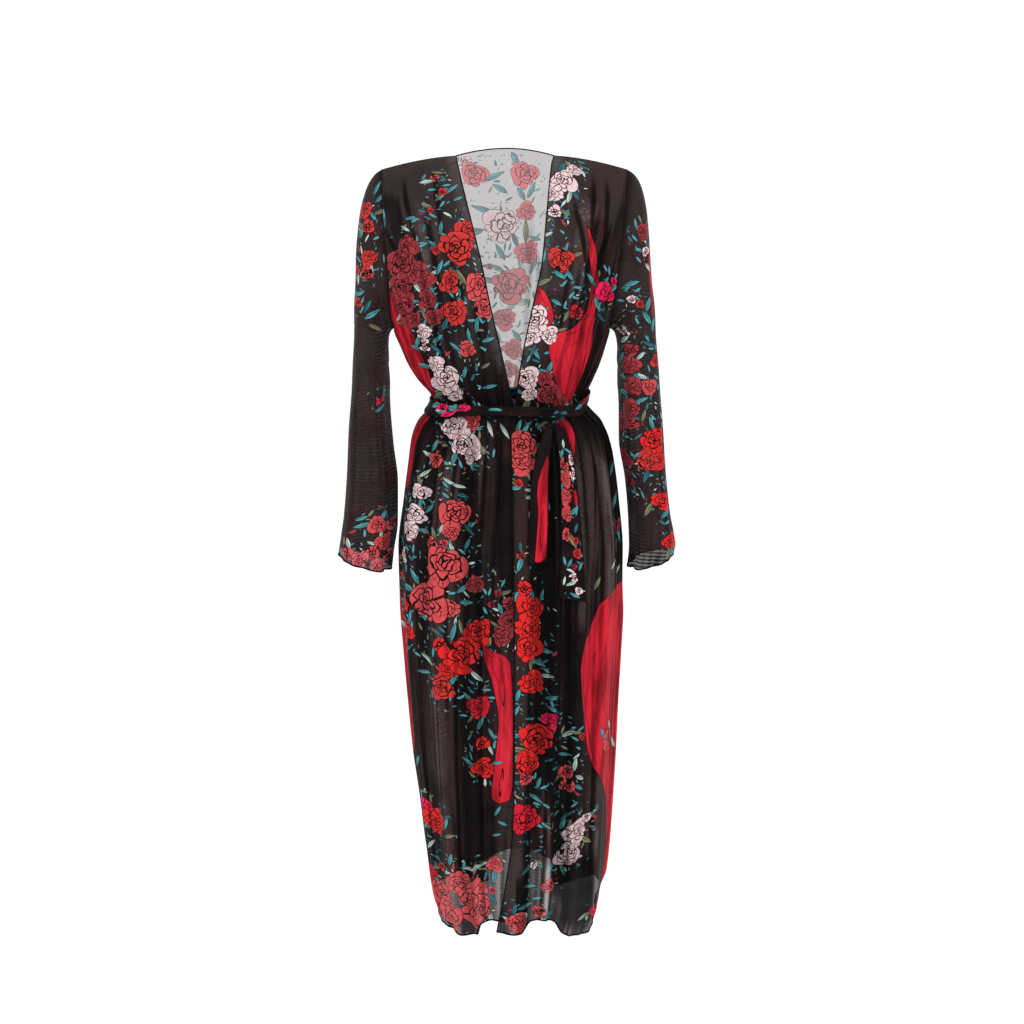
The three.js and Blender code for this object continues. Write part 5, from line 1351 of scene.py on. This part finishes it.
def top_stamp(finish, word, count, covers):
    """The uppermost of the layers' stamps at a point."""
    top = finish.attribute(f"{word}_1", "Vector").socket
    for n in range(2, count + 1):
        above = finish.attribute(f"{word}_{n}", "Vector").socket
        x, y, mark = finish.split(above)
        top = finish.blend(covers(x, y, mark) * (mark > 0.5), top, above, "VECTOR")
    return top


def bloom_covers(x, y, mark):
    return (x * x + y * y).maths("SQRT") < outer_limit(y.maths("ARCTAN2", x), mark.maths("FRACT"))


def leaf_covers(x, y, mark):
    return leaf_reach(x, y) > 0


def leaf_bits(finish, cut, cell, long, wide, share):
    """Loose slender bits of leaf, each turned its own way: where they are and a random tone."""
    cells = finish.node("ShaderNodeTexVoronoi", {"feature": "F1", "voronoi_dimensions": "2D"},
                        {"Vector": cut, "Scale": 1 / cell, "Randomness": 0.9})
    away = finish.node("ShaderNodeVectorMath", {"operation": "SUBTRACT"},
                       {0: cut, 1: cells.outputs["Position"]}).outputs[0]
    x, y, _ = finish.split(away)
    turn, pick, tone = finish.split(cells.outputs["Color"])
    cosine, sine = (turn * 6.28).maths("COSINE"), (turn * 6.28).sine()
    along = (x * cosine + y * sine) / long
    aside = abs(y * cosine - x * sine) / wide
    return (1 - along * along > aside) * (pick < share), tone


def crimson_print(finish, across, down, area):
    """The plain crimson areas, brushed down the cloth and with a few drawn lines."""
    prints = bpy.context.scene.kimono_print
    crimson = tuple(prints.crimson)
    brush = finish.noise(finish.join(across * 7.0, down), 11.0, 3.0)
    colour = finish.blend(brush.between(0.36, 0.6), tuple(CRIMSON_SHADE * part for part in crimson), crimson)
    sway, _, hide = finish.split(finish.noise(finish.join(across * 3.0, down * 0.8), 14.0, 1.0, "Color"))
    drawn = ((area + sway * 16) / 17).maths("FRACT") < 0.045
    return finish.blend(drawn * (hide > 0.47), colour, tuple(prints.ground))


def cloth_finish(name, moire=0.0, belt=False, glow=0.0):
    """The printed net: ground, crimson areas, leaves, roses, loose bits of leaf and its weave."""
    cloth = bpy.context.scene.kimono_cloth
    prints = bpy.context.scene.kimono_print
    finish = Finish(name)
    cut = finish.cut()
    across, down, _ = finish.split(cut)
    cover, area, crowd = (finish.attribute(word) for word in ("cover", "area", "crowd"))

    cloudy = finish.noise(cut, 26.0, 3.0)
    base = finish.blend(cloudy.between(0.35, 0.7), tuple(prints.ground), tuple(prints.ground_light))
    base = finish.blend(1 - cover, base, tuple(prints.lining_tint))
    zone = finish.noise(finish.join(across * 2.2, down), 7.0).between(0.46, 0.62)
    base = finish.blend((finish.noise(cut, 620.0, 1.0) > 0.6) * zone, base, tuple(prints.stipple))

    bit_stops = [(0.0, tuple(prints.deep_teal)), (0.3, tuple(prints.teal)), (0.7, tuple(prints.mint)),
                 (0.78, tuple(prints.olive)), (0.92, tuple(prints.rose))]
    inked = (area < 0) * 0.7
    for cell, long, wide, share in BITS:
        on, tone = leaf_bits(finish, cut, cell, long, wide, share)
        on = on * (crowd + cloudy * 0.5 > 0.66)
        base = finish.blend(on, base, finish.ramp(tone, bit_stops))
        inked = inked.most(on)

    base = finish.blend(area < 0, base, crimson_print(finish, across, down, area))
    base = finish.blend(abs(area) < 0.5, base, tuple(prints.ground))
    for stamp, stamp_on in (leaf_print(finish, top_stamp(finish, "leaf", LEAF_LAYERS, leaf_covers)),
                            bloom_print(finish, top_stamp(finish, "bloom", BLOOM_LAYERS, bloom_covers))):
        base = finish.blend(stamp_on, base, stamp)
        inked = inked.most(stamp_on)
    if not belt:
        # Painted shade: the colour, print included, is darkened where the cover rises in folds, pleats and crease
        # lines. This stands partly for the extra net over it and partly for the shade in them. Inked parts are
        # darkened less
        fold_layers_and_shade = ((1 - cover) / (1 - cloth.cover_front)).least(1.0)
        base = finish.scaled(base, fold_layers_and_shade.maths("POWER", 0.4 - 0.2 * inked))

    net = finish.node("ShaderNodeTexVoronoi", {"feature": "DISTANCE_TO_EDGE", "voronoi_dimensions": "2D"},
                      {"Vector": cut, "Scale": 1 / cloth.net_hole, "Randomness": 0.35})
    thread = Shade(finish, net.outputs["Distance"])
    ribs = finish.node("ShaderNodeTexWave", {"wave_type": "BANDS", "bands_direction": "Y", "wave_profile": "SIN"},
                       {"Vector": cut, "Scale": 52.0, "Distortion": 5.0, "Detail": 1.0, "Detail Scale": 0.35})
    rib = Shade(finish, ribs.outputs["Fac"]) - 0.5
    rib_on = finish.noise(cut, 9.0, 1.0).between(0.42, 0.62) * (0 - down).between(0.06, 0.2)
    holes = (thread.between(0.05, 0.35) - 0.5) * 0.05 + (cloudy - 0.5) * 0.05 + rib * rib_on * moire
    alpha = 1 - (1 - cover + holes * 1.4) * (1 - cloth.ink_cover * inked)
    alpha = alpha.least(1.0 if belt else 0.995).most(0.05)
    finish.material.cycles.emission_sampling = "NONE"
    return finish.finished({
        "Base Color": base, "Roughness": 0.62 + (cloudy - 0.5) * 0.2, "Alpha": alpha,
        "Normal": finish.bump(thread, 0.35),
        # Painted light: the colour glows by itself, most where the cover is lowest, in place of light reaching the
        # cloth through the net
        "Emission Color": finish.scaled(base, (1 - cover) * (1 - cover)) if glow else (0, 0, 0, 1),
        "Emission Strength": glow, "Specular IOR Level": 0.04,
        "Sheen Weight": cloth.sheen, "Sheen Roughness": 0.45, "Sheen Tint": (0.9, 0.86, 0.88, 1)})


def thread_finish():
    """Black overlocked thread for the rolled edges and seams."""
    ground = tuple(bpy.context.scene.kimono_print.ground)
    finish = Finish("black_overlock_thread")
    wave = finish.node("ShaderNodeTexWave", {"wave_type": "BANDS", "bands_direction": "DIAGONAL"},
                       {"Vector": finish.cut(), "Scale": 180.0, "Distortion": 0.6})
    twist = Shade(finish, wave.outputs["Fac"])
    return finish.finished({
        # Painted highlight: the colour is lighter on the crests of the twist, where its bump stands highest
        "Base Color": finish.blend(twist, ground, tuple(2.2 * part for part in ground)),
        "Roughness": 0.6 + 0.2 * twist, "Normal": finish.bump(twist, 0.6), "Specular IOR Level": 0.06})


def material_named(name, make, *args, **settings):
    return bpy.data.materials.get(name) or make(*args, **settings)


def colour_property(name, red, green, blue):
    return FloatVectorProperty(name=name, description=f"{name} of the print", default=(red, green, blue),
                               size=3, subtype="COLOR", min=0, max=1)


class KimonoCloth(bpy.types.PropertyGroup):
    """The robe's net cloth: the fineness of its meshes, its edges and how much it hides."""
    rows_down_body: IntProperty(name="Rows down the body", description="Rows of faces from hem to shoulder",
                                default=330, min=40, max=600)
    columns_on_back: IntProperty(name="Columns on the back", description="Columns of faces across the back",
                                 default=230, min=30, max=400)
    columns_on_front: IntProperty(name="Columns on a front", description="Columns of faces across each front",
                                  default=130, min=20, max=300)
    rows_down_sleeve: IntProperty(name="Rows down a sleeve", description="Rows of faces from cuff to armhole",
                                  default=210, min=30, max=400)
    columns_round_sleeve: IntProperty(name="Columns round a sleeve", description="Columns of faces round a sleeve",
                                      default=120, min=24, max=240)
    gather_depth: FloatProperty(name="Gather depth", description="Depth of the gathers at the belt",
                                default=0.0019, min=0, max=0.004, unit="LENGTH")
    crease_share: FloatProperty(name="Crease share", description="Depth of the finer creases, 1 as modelled",
                                default=1.0, min=0, max=1.5, subtype="FACTOR")
    roll_radius: FloatProperty(name="Rolled edge radius", description="Radius of the rolled hems",
                               default=0.0013, min=0.0004, max=0.003, unit="LENGTH")
    seam_radius: FloatProperty(name="Seam radius", description="Half width of the joining seams",
                               default=0.0006, min=0.0004, max=0.003, unit="LENGTH")
    net_hole: FloatProperty(name="Net hole", description="Distance between the net's holes",
                            default=0.0011, min=0.0005, max=0.004, unit="LENGTH")
    cover_front: FloatProperty(name="Front cover", description="How much one layer of the front hides",
                               default=0.905, min=0, max=1, subtype="FACTOR")
    # Painted light: the lower cover in the neck opening brightens the back there and feeds its painted glow
    cover_in_neck: FloatProperty(name="Neck cover", description="How much the back hides in the neck opening",
                                 default=0.5, min=0, max=1, subtype="FACTOR")
    cover_back: FloatProperty(name="Back cover", description="How much one layer of the rest of the back hides",
                              default=0.87, min=0, max=1, subtype="FACTOR")
    cover_sleeve: FloatProperty(name="Sleeve cover", description="How much one layer of a sleeve hides",
                                default=0.9, min=0, max=1, subtype="FACTOR")
    ink_cover: FloatProperty(name="Ink cover", description="How much the printed inks close the net's holes",
                             default=0.72, min=0, max=1, subtype="FACTOR")
    # Painted light: strength of the emission glow on the back panel, which stands in for light coming through the
    # net
    glow: FloatProperty(name="Light through", description="Light that comes through the bare net from behind",
                        default=2.1, min=0, max=4)
    sheen: FloatProperty(name="Sheen", description="Soft shine of the net", default=0.012, min=0, max=1,
                         subtype="FACTOR")


class KimonoPrint(bpy.types.PropertyGroup):
    """Colours and richness of the flower print."""
    ground: colour_property("Ground", 0.0022, 0.0012, 0.0015)
    ground_light: colour_property("Worn ground", 0.0075, 0.0045, 0.0048)
    lining_tint: colour_property("Tint of bare net", 0.15, 0.088, 0.084)
    faded: colour_property("Faded coral", 0.62, 0.10, 0.12)
    stipple: colour_property("Maroon stipple", 0.05, 0.009, 0.013)
    outline: colour_property("Outline", 0.006, 0.003, 0.003)
    crimson: colour_property("Crimson", 0.52, 0.012, 0.026)
    bright: colour_property("Bright red", 0.64, 0.018, 0.018)
    red: colour_property("Red", 0.50, 0.030, 0.026)
    coral: colour_property("Coral", 0.55, 0.062, 0.068)
    rose: colour_property("Muted rose", 0.30, 0.032, 0.040)
    pink: colour_property("Hot pink", 0.80, 0.012, 0.09)
    blush: colour_property("Blush white", 0.66, 0.54, 0.55)
    teal: colour_property("Teal", 0.06, 0.25, 0.28)
    deep_teal: colour_property("Deep teal", 0.02, 0.12, 0.15)
    mint: colour_property("Pale mint", 0.38, 0.50, 0.44)
    olive: colour_property("Olive", 0.16, 0.17, 0.09)
    leaves_each: IntProperty(name="Leaves at a bloom", description="Leaves that stand out round each bloom",
                             default=2, min=0, max=8)


class KimonoStage(bpy.types.PropertyGroup):
    """Floor, light and camera."""
    floor_drop: FloatProperty(name="Floor drop", description="Depth of the floor below the shoulders",
                              default=1.42, min=1.25, max=2, unit="LENGTH")
    camera_distance: FloatProperty(name="Camera distance", description="Distance of the camera in front",
                                   default=2.75, min=1, max=6, unit="LENGTH")
    camera_tilt: FloatProperty(name="Camera tilt", description="How far the camera looks down",
                               default=math.radians(11.2), min=0, max=1, subtype="ANGLE")
    key_power: FloatProperty(name="Key light", description="Power of the large soft light", default=42.0,
                             min=0, max=500, unit="POWER")


class KimonoOperator:
    """What the robe's operators share."""
    bl_options = {"REGISTER", "UNDO"}

    def declare(self, piece, slot, finish, *nodes):
        piece.data.materials.clear()
        piece.data.materials.append(finish)
        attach(piece, "root")
        if nodes:
            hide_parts(*nodes)
        return piece

    def printed(self, name, kind, sheet, finish, slot, node, seed, is_tube=False):
        piece, grid = sheet_object(name, sheet)
        print_on(piece, sheet, kind, grid, seed, bpy.context.scene.kimono_print.leaves_each)
        if is_tube:
            close_tube(piece.data)
        piece.data.shade_smooth()
        return self.declare(piece, slot, finish, node)

    def roll(self, name, path, radius, **settings):
        piece = cord_object(name, path, radius / MM, **settings)
        return self.declare(piece, "printed_mesh", material_named("black_overlock_thread", thread_finish))


class KIMONO_OT_body_panels(KimonoOperator, bpy.types.Operator):
    """Build the back and the two fronts, with their rolled edges and seams"""
    bl_idname = "kimono.body_panels"
    bl_label = "Body panels"

    def execute(self, context):
        cloth = context.scene.kimono_cloth
        finish = material_named("printed_net", cloth_finish, "printed_net", PANEL_MOIRE)
        # The back's finish carries the painted glow
        lit = material_named("printed_net_back", cloth_finish, "printed_net_back", PANEL_MOIRE, glow=cloth.glow)
        sheets = {kind: panel_sheet(kind, cloth) for kind in ("back", "under", "over")}
        back = self.printed("back_panel", "back", sheets["back"], lit, "printed_mesh", "back", 3)
        right = self.printed("front_panel_right", "under", sheets["under"], finish, "printed_mesh", "front_right", 5)
        left = self.printed("front_panel_left", "over", sheets["over"], finish, "printed_mesh", "front_left", 7)

        radius = cloth.roll_radius
        under, over, rear = sheets["under"].points, sheets["over"].points, sheets["back"].points
        nape = rear[-1]
        nape = nape[(nape[:, 0] < NECK_RIGHT - 0.5) & (nape[:, 0] > NECK_LEFT + 0.5)][::-1]
        edge = np.concatenate([under[:, -1], nape, over[::-1, 0]])
        rolls = {
            "neck": self.roll("edge_roll_neck_and_fronts", edge, NECK_ROLL * radius),
            "back": self.roll("edge_roll_hem_back", rear[0], radius),
            "right": self.roll("edge_roll_hem_right", under[0], radius),
            "left": self.roll("edge_roll_hem_left", over[0], radius),
        }
        seam = cloth.seam_radius
        at_side = sheets["under"].drop[:, 0] >= UNDERARM_DROP
        seams = [
            self.roll("seam_shoulder_right", under[-1], seam, flat=0.7),
            self.roll("seam_shoulder_left", over[-1], seam, flat=0.7),
            self.roll("seam_side_right", under[at_side, 0], seam),
            self.roll("seam_side_left", over[at_side, -1], seam),
        ]
        return {"FINISHED"}


class KIMONO_OT_sleeves(KimonoOperator, bpy.types.Operator):
    """Build the two sleeves with their cuff rolls and armhole seams"""
    bl_idname = "kimono.sleeves"
    bl_label = "Sleeves"

    def execute(self, context):
        cloth = context.scene.kimono_cloth
        finish = material_named("printed_sleeve_net", cloth_finish, "printed_sleeve_net", SLEEVE_MOIRE)
        for side, seed in (("right", 11), ("left", 13)):
            sheet = sleeve_sheet(side, cloth)
            piece = self.printed(f"sleeve_cloth_{side}", side, sheet, finish, "printed_mesh",
                                 f"sleeve_{side}", seed, is_tube=True)
            cuff = self.roll(f"edge_roll_cuff_{side}", sheet.points[0, :-1], cloth.roll_radius, is_loop=True)
            armhole = self.roll(f"seam_armhole_{side}", sheet.points[-1, :-1], cloth.seam_radius, is_loop=True)
            under = self.roll(f"seam_sleeve_{side}", sheet.points[:, 0], cloth.seam_radius, flat=0.8)
        return {"FINISHED"}


class KIMONO_OT_belt(KimonoOperator, bpy.types.Operator):
    """Build the rolled belt, its knot and its two hanging ends"""
    bl_idname = "kimono.belt"
    bl_label = "Tie belt"

    def execute(self, context):
        cloth = context.scene.kimono_cloth
        finish = material_named("printed_belt_net", cloth_finish, "printed_belt_net", belt=True)
        sheet = belt_sheet(28, 420)
        self.printed("belt_roll", "belt", sheet, finish, "belt_mesh", "belt", 17, is_tube=True)

        low, high = (np.array(corner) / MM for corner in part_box("belt_knot"))
        centre, half = (low + high) / 2, (high - low) / 2
        bm = bmesh.new()
        bmesh.ops.create_uvsphere(bm, u_segments=56, v_segments=36, radius=1)
        for vert in bm.verts:
            x, y, z = vert.co
            wrap = math.sin(5.2 * (z * 0.9 + x * 0.55)) * 0.5 + 0.5
            pinch = math.exp(-((x * 0.8 - z * 0.5) / 0.16) ** 2)
            size = 0.86 + 0.13 * wrap ** 0.5 - 0.1 * pinch
            vert.co = Vector((centre[0] + x * half[0] * size, centre[1] + y * half[1] * size,
                              centre[2] + z * half[2] * size)) * MM
        mesh = mesh_from("belt_knot_wraps", bm)
        places, corner = places_of(mesh)
        set_cut(mesh, places[:, (0, 2)][corner] + KNOT_PRINT_START)
        for name, value in (("cover", 1.0), ("area", 40.0), ("crowd", 0.6)):
            set_values(mesh, name, np.full(len(places), value))
        mesh.shade_smooth()
        knot = new_object("belt_knot_wraps", mesh)
        self.declare(knot, "belt_mesh", finish, "belt_knot")

        for kind, seed in (("short", 19), ("long", 23)):
            sheet = tail_sheet(kind, 110, 20)
            piece = self.printed(f"belt_end_{kind}", kind, sheet, finish, "belt_mesh", f"belt_tail_{kind}", seed)
            outline = np.concatenate([sheet.points[::-1, 0], sheet.points[0, 1:], sheet.points[1:, -1]])
            edge = self.roll(f"edge_roll_belt_end_{kind}", outline, TAIL_ROLL * cloth.roll_radius, sides=6)
            drops = TAILS[kind]["drop"]
            width, length = float(TAILS[kind]["wide"][-1]) * MM, float(drops[-1] - drops[0]) * MM
        return {"FINISHED"}


class KIMONO_OT_stage(bpy.types.Operator):
    """Build the pale floor, the soft studio light and the camera"""
    bl_idname = "kimono.stage"
    bl_label = "Stage"

    def execute(self, context):
        stage = context.scene.kimono_stage
        scene = context.scene
        bm = bmesh.new()
        bmesh.ops.create_circle(bm, cap_ends=True, segments=96, radius=14)
        for vert in bm.verts:
            vert.co.z = -stage.floor_drop
        floor = new_object("studio_floor", mesh_from("studio_floor", bm))
        finish = Finish("pale_floor")
        grain = finish.noise(finish.node("ShaderNodeTexCoord").outputs["Object"], 3.0)
        tone = finish.blend(grain, (0.95, 0.95, 0.95), (0.97, 0.97, 0.97))
        floor.data.materials.append(finish.finished({"Base Color": tone, "Roughness": 0.9}))

        world = bpy.data.worlds.new("studio_light")
        world.use_nodes = True
        background = world.node_tree.nodes["Background"].inputs
        background["Color"].default_value = (1, 1, 1, 1)
        background["Strength"].default_value = 1.08
        scene.world = world
        scene.view_settings.view_transform = "Standard"

        for name, place, size, power in (
            ("softbox_left", (-2.2, -2.4, 1.3), 1.8, stage.key_power),
            ("softbox_right", (2.4, -2.2, 0.9), 1.8, stage.key_power * 0.7),
        ):
            lamp = bpy.data.lights.new(name, "AREA")
            lamp.energy, lamp.size = power, size
            light = new_object(name, lamp)
            light.location = place
            light.rotation_euler = (Vector((0, 0, -0.6)) - Vector(place)).to_track_quat("-Z", "Y").to_euler()

        lens = bpy.data.cameras.new("camera")
        lens.sensor_width = 36
        lens.lens = 1786 / 1024 * 36
        camera = new_object("camera", lens)
        camera.location = (0.0075, -stage.camera_distance, 0)
        camera.rotation_euler = (math.pi / 2 - stage.camera_tilt, 0, 0)
        scene.camera = camera
        return {"FINISHED"}


class KIMONO_PT_robe(bpy.types.Panel):
    """Lists the robe's pieces in the sidebar"""
    bl_label = "Sheer kimono robe"
    bl_idname = "KIMONO_PT_robe"
    bl_space_type = "VIEW_3D"
    bl_region_type = "UI"
    bl_category = "Kimono"

    def draw(self, context):
        layout = self.layout
        for operator in OPERATORS:
            layout.operator(operator.bl_idname)
        for group in ("kimono_cloth", "kimono_print", "kimono_stage"):
            box = layout.box()
            settings = getattr(context.scene, group)
            for name in settings.bl_rna.properties.keys():
                if name not in ("rna_type", "name"):
                    box.prop(settings, name)


GROUPS = {"kimono_cloth": KimonoCloth, "kimono_print": KimonoPrint, "kimono_stage": KimonoStage}
OPERATORS = (KIMONO_OT_stage, KIMONO_OT_body_panels, KIMONO_OT_sleeves, KIMONO_OT_belt)


def register():
    for name, group in GROUPS.items():
        bpy.utils.register_class(group)
        setattr(bpy.types.Scene, name, PointerProperty(type=group))
    for operator in OPERATORS:
        bpy.utils.register_class(operator)
    bpy.utils.register_class(KIMONO_PT_robe)


def unregister():
    bpy.utils.unregister_class(KIMONO_PT_robe)
    for operator in reversed(OPERATORS):
        bpy.utils.unregister_class(operator)
    for name, group in reversed(GROUPS.items()):
        delattr(bpy.types.Scene, name)
        bpy.utils.unregister_class(group)


def main():
    register()
    bpy.ops.kimono.stage()
    bpy.ops.kimono.body_panels()
    bpy.ops.kimono.sleeves()
    bpy.ops.kimono.belt()


if __name__ == "__main__":
    main()
